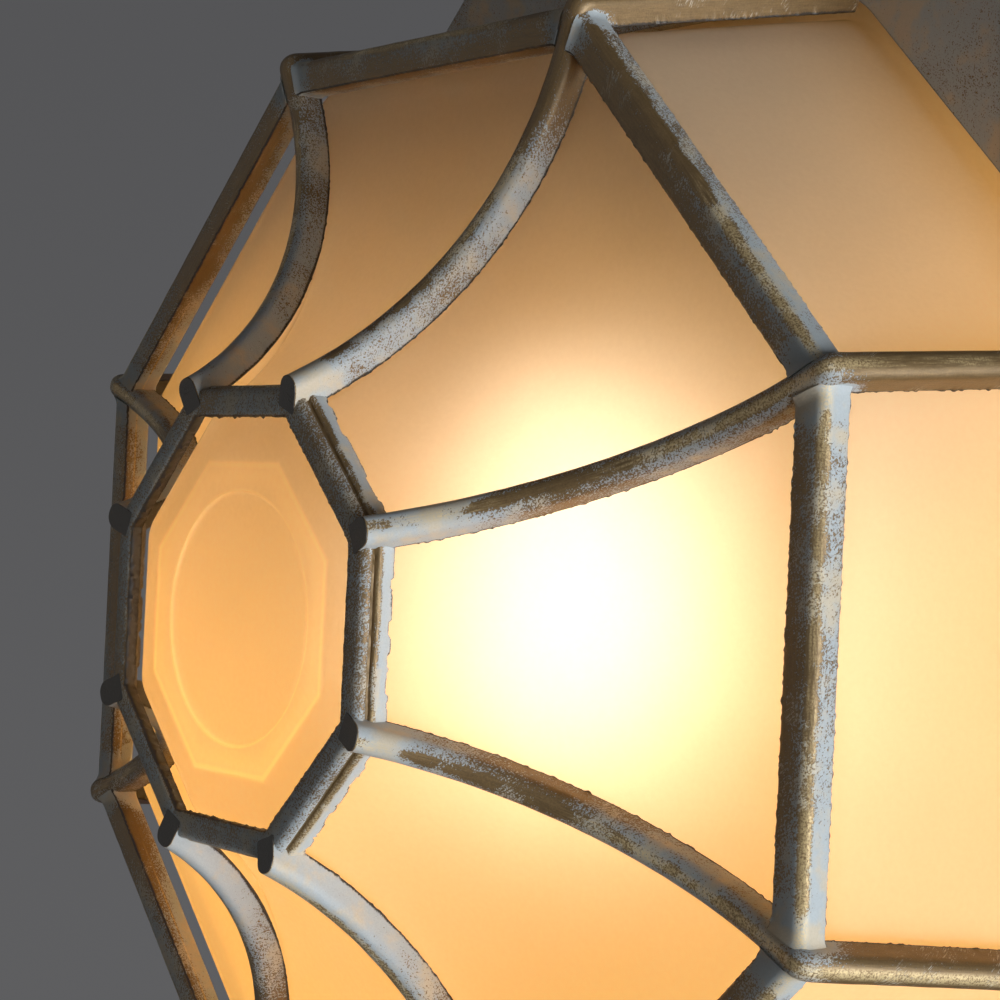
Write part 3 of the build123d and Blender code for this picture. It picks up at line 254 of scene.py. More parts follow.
def arc_then_wall(cage, radius, start, corner, end, rounding, counts, squeeze=1.0):
    """Points of the bending circle, a rounded corner and a straight wall, with r scaled by squeeze."""
    centre = arc_centre(cage)
    first = math.atan2(start.y - centre.y, start.x - centre.x)
    last = math.atan2(corner.y - centre.y, corner.x - centre.x)
    wall = (end - corner).normalized()
    turn = Vector((math.sin(last), -math.cos(last))).angle(wall)
    back = rounding * math.tan(turn / 2)
    last += back / radius
    points = []
    for n in range(counts[0] + 1):
        angle = first + (last - first) * n / counts[0]
        points.append(centre + radius * Vector((math.cos(angle), math.sin(angle))))
    points += curve_through(points[-1], corner, corner + wall * back, counts[1])[1:]
    points += straight(points[-1], end, counts[2])
    return [Vector((p.x * squeeze, p.y)) for p in points]


def turned(angle, r, z, along=0.0):
    """Point at distance r and height z in a plane through the axis, moved along the tangent."""
    side = Vector((-math.sin(angle), math.cos(angle), 0.0))
    return Vector((r * math.cos(angle), r * math.sin(angle), z)) + side * along


# Unevenness of the castings: width and height of the waves on the cage and on the ring, and width of a burr.
CAGE_WAVES = (0.004, 0.00005)
RING_WAVES = (0.003, 0.00006)
BURR_WIDTH = 0.0009


def jitter(point, waves):
    """Small repeatable unevenness of a casting."""
    width, height = waves
    return noise.noise_vector(point / width) * height


def burr_at(point, cage, edge):
    """Height of the casting burr at a point, for its share of an edge."""
    return max(0.0, noise.noise(point / BURR_WIDTH)) * cage.burr * edge


def skin(name, rings, strokes=None, loop=False, sharp=38.0):
    """Mesh object whose faces join rings of points.

    A stroke is a place along and across the brush marks, an edge share and a paint share.
    """
    count = len(rings[0])
    verts = [p for ring in rings for p in ring]
    faces = []
    spans = len(rings) if loop else len(rings) - 1
    for n in range(spans):
        low = n * count
        high = (n + 1) % len(rings) * count
        for k in range(count):
            following = (k + 1) % count
            faces.append((low + k, low + following, high + following, high + k))
    if not loop:
        faces.append(tuple(reversed(range(count))))
        faces.append(tuple(range(len(verts) - count, len(verts))))
    mesh = bpy.data.meshes.new(name)
    mesh.from_pydata([tuple(v) for v in verts], [], faces)
    mesh.validate()
    if strokes:
        flat = [stroke for ring in strokes for stroke in ring]
        attribute = mesh.attributes.new("stroke", "FLOAT_VECTOR", "POINT")
        attribute.data.foreach_set("vector", [x for stroke in flat for x in stroke[:3]])
        attribute = mesh.attributes.new("cover", "FLOAT", "POINT")
        attribute.data.foreach_set("value", [stroke[3] for stroke in flat])
    mesh.shade_smooth()
    mesh.set_sharp_from_angle(angle=math.radians(sharp))
    made = bpy.data.objects.new(name, mesh)
    bpy.context.scene.collection.objects.link(made)
    return made


def outward(made):
    """Turns the faces of a closed mesh so that they look out."""
    edit = bmesh.new()
    edit.from_mesh(made.data)
    bmesh.ops.recalc_face_normals(edit, faces=edit.faces)
    edit.to_mesh(made.data)
    edit.free()
    return made


def fit(made, body, slot, *nodes):
    """Seats a piece on its body in place of the plain solids."""
    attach(outward(made), body)
    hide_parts(*nodes)


def dress(material, *names):
    """Gives CAD nodes a finish and keeps their shape."""
    for name in names:
        for mesh_slot in NODES[name].material_slots:
            mesh_slot.material = material


def plug(tree, socket, value):
    """Links a socket to another one, or sets its plain value. A colour of three numbers is opaque."""
    if value is None:
        return
    if isinstance(value, bpy.types.NodeSocket):
        tree.links.new(value, socket)
    elif socket.type == "RGBA" and len(value) == 3:
        socket.default_value = (*value, 1.0)
    else:
        socket.default_value = value


def add_node(tree, kind, **values):
    """Node whose settings and sockets take values by name."""
    made = tree.nodes.new(kind)
    for name, value in values.items():
        if hasattr(made, name) and not name[0].isupper():
            setattr(made, name, value)
        else:
            plug(tree, made.inputs[name.replace("_", " ")], value)
    return made


def maths(operation):
    """Maker of one kind of math node, which gives its result."""

    def make(tree, first, second=None, third=None, clamp=False):
        made = tree.nodes.new("ShaderNodeMath")
        made.operation = operation
        made.use_clamp = clamp
        for socket, value in zip(made.inputs, (first, second, third)):
            plug(tree, socket, value)
        return made.outputs[0]

    return make


times = maths("MULTIPLY")
plus = maths("ADD")
minus = maths("SUBTRACT")
fused = maths("MULTIPLY_ADD")
largest = maths("MAXIMUM")
size_of = maths("ABSOLUTE")
root = maths("SQRT")


def step_between(tree, value, low, high, to_low=0.0, to_high=1.0):
    """Smooth step of a value between two levels."""
    made = tree.nodes.new("ShaderNodeMapRange")
    made.interpolation_type = "SMOOTHSTEP"
    for socket, given in zip(made.inputs, (value, low, high, to_low, to_high)):
        plug(tree, socket, given)
    return made.outputs[0]


def speckle(tree, vector, scale, detail=2.0, roughness=0.5):
    """Noise value at a place."""
    made = add_node(
        tree, "ShaderNodeTexNoise", Vector=vector, Scale=scale, Detail=detail, Roughness=roughness
    )
    return made.outputs["Fac"]


def blend(tree, share, first, second, mode="MIX"):
    """Mix of two colours."""
    made = tree.nodes.new("ShaderNodeMix")
    made.data_type = "RGBA"
    made.blend_type = mode
    for socket, value in zip((made.inputs[0], made.inputs[6], made.inputs[7]), (share, first, second)):
        plug(tree, socket, value)
    return made.outputs[2]


def darkened(tree, tint, share, least):
    """Colour brought down to its least share where the mask is nothing."""
    return blend(tree, 1.0, tint, blend(tree, share, (least, least, least), (1.0, 1.0, 1.0)), "MULTIPLY")


def group(name, takes, gives):
    """Empty shader node group with named sockets, its input and its output node."""
    tree = bpy.data.node_groups.new(name, "ShaderNodeTree")
    kinds = {"v": "NodeSocketVector", "f": "NodeSocketFloat", "c": "NodeSocketColor"}
    for socket, kind in takes.items():
        tree.interface.new_socket(name=socket, in_out="INPUT", socket_type=kinds[kind])
    for socket, kind in gives.items():
        tree.interface.new_socket(name=socket, in_out="OUTPUT", socket_type=kinds[kind])
    return tree, tree.nodes.new("NodeGroupInput").outputs, tree.nodes.new("NodeGroupOutput").inputs


def use_group(tree, name, **values):
    """Places a node group in a material."""
    made = tree.nodes.new("ShaderNodeGroup")
    made.node_tree = bpy.data.node_groups[name]
    for socket, value in values.items():
        plug(tree, made.inputs[socket.replace("_", " ")], value)
    return made.outputs


# Noise scales of the paint, for a place in metres: speckle, blotches and broad changes.
PAINT_GRAIN = 2900.0
PAINT_PATCHES = 130.0
PAINT_REGIONS = 28.0

# Lines for each metre along and across a piece: slanted hatching, its slow waver, and long brush marks.
HATCH = (3400.0, 2300.0)
HATCH_WAVER = (-230.0, 370.0)
BRUSH = (220.0, 2400.0)

# Distance from a crest within which it is rubbed bare, and within which gold is rubbed on.
CREST = 0.0003
CREST_BARE = 0.0019
CREST_GOLD = 0.0017


def dry_brushed_group():
    """Pale paint dragged over a bronze ground, with gold on the crests and near-black edges: bare edges, and
    painted shade on the ribs' cut ends.
    """
    takes = {
        "Place": "v", "Along": "f", "Across": "f", "Edge": "f", "Cover": "f",
        "Pale": "c", "Cream": "c", "Brown": "c", "Gold": "c", "Soot": "c",
        "Coverage": "f", "Gold rub": "f", "Ridge": "f", "Patchiness": "f",
    }
    gives = {"Colour": "c", "Roughness": "f", "Metallic": "f", "Height": "f"}
    tree, take, give = group("Dry brushed paint", takes, gives)
    place, along, across = take["Place"], take["Along"], take["Across"]
    grain = speckle(tree, place, PAINT_GRAIN, 3.0, 0.6)
    patches = speckle(tree, place, PAINT_PATCHES, 4.0, 0.6)
    regions = speckle(tree, place, PAINT_REGIONS, 1.0, 0.5)
    slant = add_node(
        tree, "ShaderNodeCombineXYZ",
        X=fused(tree, along, HATCH[0], times(tree, across, HATCH[1])),
        Y=fused(tree, along, HATCH_WAVER[0], times(tree, across, HATCH_WAVER[1])),
    )
    hatch = speckle(tree, slant.outputs[0], 1.0, 2.0, 0.6)
    brush = add_node(
        tree, "ShaderNodeCombineXYZ", X=times(tree, along, BRUSH[0]), Y=times(tree, across, BRUSH[1])
    )
    drag = speckle(tree, brush.outputs[0], 1.0, 3.0, 0.6)
    distance = size_of(tree, across)
    ridge = times(tree, step_between(tree, distance, CREST, CREST_BARE, 1.0, 0.0), take["Ridge"])
    worn = times(tree, ridge, step_between(tree, patches, 0.62, 0.40))
    texture = fused(tree, grain, 0.62, times(tree, hatch, 0.23))
    texture = fused(tree, drag, 0.15, texture)
    sway = fused(tree, patches, 0.8, fused(tree, regions, 1.2, -1.0))
    cover = plus(tree, take["Coverage"], take["Cover"])
    cover = fused(tree, sway, take["Patchiness"], cover)
    cover = fused(tree, worn, -0.45, cover)
    level = fused(tree, cover, 0.45, 0.275)
    paint = step_between(tree, minus(tree, level, texture), -0.035, 0.045)
    strokes = times(tree, step_between(tree, hatch, 0.45, 0.38), step_between(tree, patches, 0.54, 0.62))
    paint = largest(tree, paint, times(tree, strokes, take["Patchiness"]))
    tone = blend(tree, step_between(tree, patches, 0.46, 0.66), take["Pale"], take["Cream"])
    tone = darkened(tree, tone, grain, 0.72)
    ground = darkened(tree, take["Brown"], drag, 0.35)
    ground = darkened(tree, ground, grain, 0.4)
    surface = blend(tree, paint, ground, tone)
    rub = times(tree, step_between(tree, distance, CREST, CREST_GOLD, 1.0, 0.0), take["Gold rub"])
    rub = times(tree, rub, step_between(tree, fused(tree, drag, 0.35, regions), 0.56, 0.74))
    rub = times(tree, rub, step_between(tree, grain, 0.66, 0.40))
    surface = blend(tree, rub, surface, take["Gold"])
    ragged = fused(tree, grain, 0.9, times(tree, patches, 1.1))
    # Near-black where the edge share is high: bare edges, and painted shade on the ribs' cut ends.
    bare = step_between(tree, minus(tree, times(tree, take["Edge"], 1.5), ragged), -0.12, 0.3)
    tree.links.new(blend(tree, bare, surface, take["Soot"]), give["Colour"])
    metal = times(tree, minus(tree, 1.0, paint), 0.4)
    metal = largest(tree, metal, times(tree, rub, 0.75))
    tree.links.new(times(tree, metal, minus(tree, 1.0, bare)), give["Metallic"])
    rough = fused(tree, grain, 0.16, 0.36)
    tree.links.new(fused(tree, paint, 0.2, rough), give["Roughness"])
    tree.links.new(fused(tree, paint, 0.7, times(tree, grain, 0.6)), give["Height"])


def edge_mask_group():
    """Share of wear along the sharp edges of a piece."""
    tree, take, give = group("Edge mask", {"Place": "v", "Grain": "f"}, {"Edge": "f"})
    soft = tree.nodes.new("ShaderNodeBevel")
    soft.samples = 4
    soft.inputs["Radius"].default_value = 0.0008
    geometry = tree.nodes.new("ShaderNodeNewGeometry")
    dot = add_node(tree, "ShaderNodeVectorMath", operation="DOT_PRODUCT")
    tree.links.new(soft.outputs[0], dot.inputs[0])
    tree.links.new(geometry.outputs["Normal"], dot.inputs[1])
    turn = minus(tree, 1.0, dot.outputs["Value"])
    broken = times(tree, speckle(tree, take["Place"], take["Grain"], 4.0, 0.65), 0.16)
    tree.links.new(step_between(tree, minus(tree, turn, broken), -0.03, 0.14), give["Edge"])


def grain_group():
    """Fine unevenness of a moulded or rolled surface: a light and dark share and a height."""
    tree, take, give = group(
        "Moulded grain", {"Place": "v", "Scale": "f", "Base": "c", "Shade": "c", "Rough": "f"},
        {"Colour": "c", "Roughness": "f", "Height": "f"},
    )
    fine = speckle(tree, take["Place"], take["Scale"], 4.0, 0.6)
    broad = speckle(tree, take["Place"], times(tree, take["Scale"], 0.06), 2.0, 0.5)
    share = plus(tree, times(tree, fine, 0.6), times(tree, broad, 0.4))
    tint = blend(tree, step_between(tree, share, 0.3, 0.7), take["Base"], take["Shade"])
    tree.links.new(tint, give["Colour"])
    rough = fused(tree, minus(tree, fine, 0.5), 0.25, take["Rough"], clamp=True)
    tree.links.new(rough, give["Roughness"])
    tree.links.new(fine, give["Height"])


def brushed_group():
    """Drawn or turned metal: fine lines across one direction, with dull patches."""
    tree, take, give = group(
        "Brushed metal", {"Place": "v", "Stretch": "v", "Base": "c", "Dull": "c", "Rough": "f"},
        {"Colour": "c", "Roughness": "f", "Height": "f"},
    )
    stretched = add_node(tree, "ShaderNodeVectorMath", operation="MULTIPLY")
    tree.links.new(take["Place"], stretched.inputs[0])
    tree.links.new(take["Stretch"], stretched.inputs[1])
    lines = speckle(tree, stretched.outputs[0], 1.0, 3.0, 0.6)
    patches = speckle(tree, take["Place"], 240.0, 4.0, 0.6)
    share = plus(tree, times(tree, lines, 0.45), times(tree, patches, 0.55))
    tint = blend(tree, step_between(tree, share, 0.36, 0.66), take["Base"], take["Dull"])
    tree.links.new(tint, give["Colour"])
    tree.links.new(fused(tree, share, 0.35, take["Rough"], clamp=True), give["Roughness"])
    tree.links.new(lines, give["Height"])


def glow_group():
    """Glow that falls from one colour to another with the distance from a point. On the glass it is painted
    lamp light falling to painted shade; on the lamp it is the lamp's own light.
    """
    takes = {"Place": "v", "Lamp": "v", "Near": "c", "Far": "c", "Start": "f", "Reach": "f"}
    tree, take, give = group("Lamp glow", takes, {"Colour": "c"})
    gap = add_node(tree, "ShaderNodeVectorMath", operation="DISTANCE")
    tree.links.new(take["Place"], gap.inputs[0])
    tree.links.new(take["Lamp"], gap.inputs[1])
    cloud = speckle(tree, take["Place"], 26.0, 2.0, 0.5)
    cloud = times(tree, minus(tree, cloud, 0.5), 0.006)
    share = step_between(tree, plus(tree, gap.outputs["Value"], cloud), take["Start"], take["Reach"])
    tree.links.new(blend(tree, share, take["Near"], take["Far"]), give["Colour"])


def new_material(name, **values):
    """Material with a Principled shader, its node tree and that shader."""
    made = bpy.data.materials.new(name)
    made.use_nodes = True
    shader = made.node_tree.nodes["Principled BSDF"]
    for socket, value in values.items():
        shader.inputs[socket.replace("_", " ")].default_value = value
    return made, made.node_tree, shader


def place_of(tree):
    """Place on the object, in metres."""
    return tree.nodes.new("ShaderNodeTexCoord").outputs["Object"]


def bump(tree, shader, height, distance):
    """Feeds a height to the shader's normal."""
    made = add_node(tree, "ShaderNodeBump", Strength=1.0, Distance=distance, Height=height)
    tree.links.new(made.outputs[0], shader.inputs["Normal"])


def feed(tree, outputs, shader, height_distance):
    """Links a group's outputs to the shader's sockets of the same meaning."""
    tree.links.new(outputs["Colour"], shader.inputs["Base Color"])
    for name in ("Roughness", "Metallic"):
        if name in outputs:
            tree.links.new(outputs[name], shader.inputs[name])
    bump(tree, shader, outputs["Height"], height_distance)


def brushed_paint(name, coverage, gold_rub, ridge, patchiness, own_mesh):
    """Dry-brushed casting. On the plain CAD nodes the edges come from their shape."""
    if name in bpy.data.materials:
        return bpy.data.materials[name]
    finish = bpy.context.scene.light_finishes
    made, tree, shader = new_material(name)
    place = place_of(tree)
    cover = 0.0
    if own_mesh:
        stroke = add_node(tree, "ShaderNodeAttribute", attribute_name="stroke")
        parts = add_node(tree, "ShaderNodeSeparateXYZ", Vector=stroke.outputs["Vector"])
        along, across, edge = parts.outputs
        cover = add_node(tree, "ShaderNodeAttribute", attribute_name="cover").outputs["Fac"]
    else:
        parts = add_node(tree, "ShaderNodeSeparateXYZ", Vector=place)
        along, across = parts.outputs[0], parts.outputs[1]
        edge = use_group(tree, "Edge mask", Place=place, Grain=900.0)["Edge"]
    outputs = use_group(
        tree, "Dry brushed paint", Place=place, Along=along, Across=across, Edge=edge, Cover=cover,
        Pale=finish.pale, Cream=finish.cream, Brown=finish.brown, Gold=finish.gold, Soot=finish.edge_wear_and_shade,
        Coverage=coverage, Gold_rub=gold_rub, Ridge=ridge, Patchiness=patchiness,
    )
    feed(tree, outputs, shader, 0.00009)
    return made


def cage_paint():
    """Paint of the ribs and bars, worn along the crests and rubbed with gold."""
    return brushed_paint("cage paint", 0.55, 0.6, 1.0, 0.8, True)


def fitting_paint():
    """Paint of the hinge and the latch."""
    return brushed_paint("fitting paint", 0.62, 0.0, 0.0, 0.6, False)


def moulded(name, base, shade, scale, rough, height=0.00004, **values):
    """Moulded plastic, rubber, foam or glaze."""
    made, tree, shader = new_material(name, **values)
    outputs = use_group(
        tree, "Moulded grain", Place=place_of(tree), Scale=scale, Base=base, Shade=shade, Rough=rough
    )
    feed(tree, outputs, shader, height)
    return made


def metal(name, base, dull, stretch, rough):
    """Bare or plated metal."""
    if name in bpy.data.materials:
        return bpy.data.materials[name]
    made, tree, shader = new_material(name, Metallic=1.0)
    outputs = use_group(
        tree, "Brushed metal", Place=place_of(tree), Stretch=stretch, Base=base, Dull=dull, Rough=rough
    )
    feed(tree, outputs, shader, 0.00001)
    return made


# Lines for each metre in x, y and z: fine lines round an upright piece, or round one that lies along x.
LINES_ROUND_Z = (300.0, 300.0, 5200.0)
LINES_ROUND_X = (5200.0, 300.0, 300.0)


def zinc():
    """Zinc-plated steel."""
    return metal("zinc plated steel", (0.60, 0.60, 0.58), (0.40, 0.41, 0.42), LINES_ROUND_Z, 0.22)


def brass():
    """Turned brass."""
    return metal("turned brass", (0.62, 0.44, 0.17), (0.36, 0.25, 0.10), LINES_ROUND_Z, 0.20)


class FinishOperator(bpy.types.Operator):
    """Builds the node groups that the finishes share"""

    bl_idname = "ceiling_light.finishes"
    bl_label = "Shared finishes"

    def execute(self, context):
        dry_brushed_group()
        edge_mask_group()
        grain_group()
        brushed_group()
        glow_group()
        return {"FINISHED"}


def rib_rails(cage):
    """Crest and back of a rib in a plane through the axis, as pairs of points."""
    counts = (220, 24, 150)
    flare_length = math.hypot(1.0, cage.rib_flare)
    back_radius = cage.arc_radius + cage.rib_depth
    shoulder = Vector((cage.equator_radius, shoulder_height(cage)))
    hood = Vector((cage.hood_radius, arc_height(cage, cage.arc_radius, cage.hood_radius)))
    toe = Vector((arc_reach(cage, back_radius, RING_LOW.z), RING_LOW.z))
    crest_top = Vector((flared(cage, shoulder.x, shoulder.y, FLANGE_UNDER), FLANGE_UNDER))
    inner = shoulder.x - cage.rib_depth * flare_length
    armpit_r = flared(cage, inner, shoulder.y, cage.equator_height + cage.rib_depth)
    armpit = Vector((armpit_r, arc_height(cage, back_radius, armpit_r)))
    back_top = Vector((flared(cage, inner, shoulder.y, FLANGE_UNDER), FLANGE_UNDER))
    crest = arc_then_wall(cage, cage.arc_radius, hood, shoulder, crest_top, cage.shoulder, counts)
    back = arc_then_wall(cage, back_radius, toe, armpit, back_top, cage.armpit, counts)
    return list(zip(crest, back))


def nose_section(width, nose, depth):
    """Bullnose outline of a rib, all the way round, as (sideways, down from the crest, edge share)."""
    half = width / 2
    chamfer = 0.00025
    side = [(half, depth - chamfer - (depth - chamfer - nose) * n / 4, 0.0) for n in range(5)]
    side[0] = (half, depth - chamfer, 1.0)
    side[1] = (side[1][0], side[1][1], 0.25)
    arc = []
    for n in range(1, 7):
        angle = math.pi / 2 * n / 6
        arc.append((half - nose + nose * math.cos(angle), nose - nose * math.sin(angle), 0.0))
    right = [(half - chamfer, depth, 1.0)] + side + arc
    left = [(-u, v, e) for u, v, e in reversed(right)]
    back = [-(half - chamfer) * (1 - n / 2) for n in range(1, 4)]
    return right + [(0.0, 0.0, 0.0)] + left + [(u, depth, 1.0) for u in back]


# Paint on the ribs: worn off above the shoulder, thicker over the first steps from the hooded end, pooled
# beside the shoulder, and none on the cut end, which also takes the near-black edge colour as painted shade,
# since it faces down away from the light. Each rib and bar takes its brush marks from another place.
WALL_WEAR = -0.5
WALL_WEAR_RUN = 0.014
HOOD_COAT = 0.35
HOOD_COAT_STEPS = 90
SHOULDER_POOL = 0.9
SHOULDER_POOL_RUN = 0.008
CUT_END_SHADE = 1.3
CUT_END_SHADE_COVER = -1.5
RIB_SHIFT = 0.37
BAR_SHIFT = 0.41


class RibOperator(bpy.types.Operator):
    """Builds the eight cast ribs with their hooded ends"""

    bl_idname = "ceiling_light.ribs"
    bl_label = "Ribs"

    def execute(self, context):
        cage = context.scene.light_cage
        finish = cage_paint()
        rails = rib_rails(cage)
        shoulder = Vector((cage.equator_radius, shoulder_height(cage)))
        for n in range(SIDES):
            angle = (2 * n + 1) * HALF_SIDE
            rings, strokes, along = [], [], n * RIB_SHIFT
            for k, (crest, back) in enumerate(rails):
                along += (crest - rails[k - 1][0]).length if k else 0.0
                down = (back - crest).normalized()
                section = nose_section(cage.rib_width, cage.rib_nose, (back - crest).length)
                coat = WALL_WEAR * min(1.0, max(0.0, (crest.y - shoulder.y) / WALL_WEAR_RUN))
                coat += HOOD_COAT * max(0.0, 1 - k / HOOD_COAT_STEPS)
                pooled = SHOULDER_POOL * max(0.0, 1 - (crest - shoulder).length / SHOULDER_POOL_RUN)
                ring, stroke = [], []
                for u, v, edge in section:
                    spot = crest + down * v
                    point = turned(angle, spot.x, spot.y, u)
                    point += jitter(point, CAGE_WAVES)
                    burr = burr_at(point, cage, edge)
                    point += turned(angle, 0.0, 0.0, math.copysign(burr, u))
                    point.z = max(point.z, HOOD_LOW)
                    ring.append(point)
                    girth = abs(u) if v <= 0 else abs(u) + v
                    cover = coat + (pooled if v > cage.rib_nose else 0.0)
                    # The cut end gets no paint and the near-black edge colour: painted shade on a face turned
                    # away from the light.
                    if k == 0:
                        stroke.append((along, girth, CUT_END_SHADE, CUT_END_SHADE_COVER))
                    else:
                        stroke.append((along, math.copysign(girth, u), edge, cover))
                rings.append(ring)
                strokes.append(stroke)
            rib = skin(f"cast_rib_{n + 1}", rings, strokes)
            rib.data.materials.append(finish)
            fit(rib, "shade", "cage_paint", f"rib_{n + 1}")
        return {"FINISHED"}


# Points that round each corner of a bar's outline.
CORNER_POINTS = 6


def rounded_box(width, height, radii):
    """Outline of a bar: from the inner lower corner under it, round the nose and back over the top."""
    corners = [(-width, 0.0), (0.0, 0.0), (0.0, height), (-width, height)]
    points = []
    for n, ((x, y), radius) in enumerate(zip(corners, radii)):
        across = radius if n in (0, 3) else -radius
        up = radius if n in (0, 1) else -radius
        centre = Vector((x + across, y + up))
        start = math.pi + n * math.pi / 2
        for k in range(CORNER_POINTS):
            angle = start + math.pi / 2 * k / (CORNER_POINTS - 1)
            points.append(centre + radius * Vector((math.cos(angle), math.sin(angle))))
    return points


def lengths_along(points):
    """Running length at each point of an outline."""
    total = [0.0]
    for before, after in zip(points, points[1:]):
        total.append(total[-1] + (after - before).length)
    return total


# Paint on a bar: pooled beside the ribs, thin under it, so the underside reads darker as partly painted
# shade, less so round the nose, thicker on the rest.
# Burrs stand on these points of the outline, at the inner lower and the outer upper edge.
RIB_POOL = 0.7
RIB_POOL_RUN = 0.007
UNDER_SHADE_COVER = -0.25
NOSE_COVER = -0.05
FACE_COVER = 0.12
NOSE_END = 10
BURRED = (2, 3, 14, 15)
BURRED_EDGE = 0.9


def bar_cover(spot):
    """Paint on a bar at a point of its outline."""
    # Less paint under the bar, so it reads darker: partly painted shade of the underside.
    if spot < CORNER_POINTS:
        return UNDER_SHADE_COVER
    return NOSE_COVER if spot < NOSE_END else FACE_COVER


class BarOperator(bpy.types.Operator):
    """Builds the eight bars between the ribs, swollen where they run into them"""

    bl_idname = "ceiling_light.bars"
    bl_label = "Bars"

    def execute(self, context):
        cage = context.scene.light_cage
        finish = cage_paint()
        outer = (cage.equator_radius - cage.bar_set_back) * FLAT_RATIO
        low = cage.equator_height + cage.bar_lift
        start = cage.rib_width / 2 / math.sin(HALF_SIDE)
        radii = (cage.bar_ease, cage.bar_nose, cage.bar_ease, cage.bar_ease)
        section = rounded_box(cage.bar_width, cage.bar_height, radii)
        run = lengths_along(section)
        nose = (run[CORNER_POINTS] + run[2 * CORNER_POINTS - 1]) / 2
        middle = Vector((-cage.bar_width / 2, cage.bar_height / 2))
        count = 240
        for n in range(SIDES):
            angle = 2 * n * HALF_SIDE
            rings, strokes = [], []
            for k in range(count + 1):
                share = 2 * k / count - 1
                ring, stroke = [], []
                for m, spot in enumerate(section):
                    reach = (outer + spot.x - start) * HALF_SLOPE + cage.bar_bite
                    gap = reach * (1 - abs(share))
                    swell = max(0.0, 1 - gap / cage.weld_length) ** 2 * cage.weld
                    away = spot + (spot - middle).normalized() * swell
                    point = turned(angle, outer + away.x, low + away.y, share * reach)
                    point += jitter(point, CAGE_WAVES)
                    edge = 1.0 if m in BURRED else 0.0
                    burr = burr_at(point, cage, edge)
                    point += turned(angle, 0.0, math.copysign(burr, spot.y - middle.y))
                    ring.append(point)
                    cover = RIB_POOL * max(0.0, 1 - gap / RIB_POOL_RUN) + bar_cover(m)
                    along = share * reach + n * BAR_SHIFT
                    stroke.append((along, run[m] - nose, edge * BURRED_EDGE, cover))
                rings.append(ring)
                strokes.append(stroke)
            bar = skin(f"cast_bar_{n + 1}", rings, strokes)
            bar.data.materials.append(finish)
            fit(bar, "shade", "cage_paint", f"bar_{n + 1}")
        return {"FINISHED"}


# Paint on the ring: little on the inner lip and in the groove, so they show the dark ground, thin on the
# front, thick on the ridge.
LIP_COVER = -0.5
FRONT_COVER = -0.05
RIDGE_COVER = 0.6

# Broken film on the ridge: widths of large and small flakes, weight of the small ones, and where it breaks.
FLAKE_WIDTH = 0.0024
SMALL_FLAKE_WIDTH = 0.0008
SMALL_FLAKE = 0.45
FLAKE_LEVEL = 0.05
FLAKE_STEEPNESS = 6

# Rows of the ring's outline whose burrs stand inwards, and the row that brush marks are measured from.
INWARD_ROWS = 4
CREST_ROW = 13


def ring_profile(cage):
    """Outline of the ring from the inner lip round the front and the ridge.

    Each row holds the distance from the axis, the height, the edge share, the paint and the share of flaking.
    """
    front = RING_LOW.z
    high = RING_HIGH.z
    ridge = RING_HIGH.x
    outer = ridge - cage.ring_step
    inner = outer - cage.ring_face
    lip = front + cage.ring_lip
    return [
        (inner + 0.0003, front + 0.0016, 1.3, LIP_COVER, 0.0),
        (inner, front + 0.0009, 1.2, LIP_COVER, 0.0),
        (inner + 0.0001, front + 0.0003, 1.0, LIP_COVER, 0.0),
        (inner + 0.0005, front, 0.5, FRONT_COVER, 0.0),
        (inner + 0.0015, front, 0.0, FRONT_COVER, 0.0),
        (inner + 0.0027, front, 0.0, FRONT_COVER, 0.0),
        (outer - 0.0014, front, 0.0, FRONT_COVER, 0.0),
        (outer - 0.0005, front + 0.0003, 0.0, FRONT_COVER, 0.0),
        (outer, front + 0.0011, 0.0, FRONT_COVER, 0.0),
        (outer, lip - 0.0006, 0.0, FRONT_COVER, 0.0),
        (outer - 0.0005, lip - 0.0002, 0.35, LIP_COVER, 0.0),
        (outer - 0.0003, lip + 0.0002, 0.2, LIP_COVER, 0.0),
        (ridge - 0.0003, lip + 0.0003, 0.0, FRONT_COVER, 0.0),
        (ridge, lip + 0.0007, 0.0, FRONT_COVER, 0.0),
        (ridge, (lip + high) / 2, 0.0, RIDGE_COVER, 0.0),
        (ridge, high - 0.0010, 0.1, RIDGE_COVER, 0.6),
        (ridge - 0.0003, high - 0.0002, 0.8, RIDGE_COVER, 0.6),
        (outer, high, 1.0, RIDGE_COVER, 1.0),
        (outer - 0.0018, high - 0.0015, 1.3, FRONT_COVER, 0.0),
        (inner + 0.0015, lip + 0.0012, 1.3, FRONT_COVER, 0.0),
        (inner + 0.0003, lip + 0.0003, 1.3, FRONT_COVER, 0.0),
    ]


def flake_at(point, cage):
    """Depth of the broken paint film at a point of the ridge."""
    broken = noise.noise(point / FLAKE_WIDTH) + SMALL_FLAKE * noise.noise(point / SMALL_FLAKE_WIDTH)
    return cage.flake * min(1.0, max(0.0, (broken - FLAKE_LEVEL) * FLAKE_STEEPNESS))


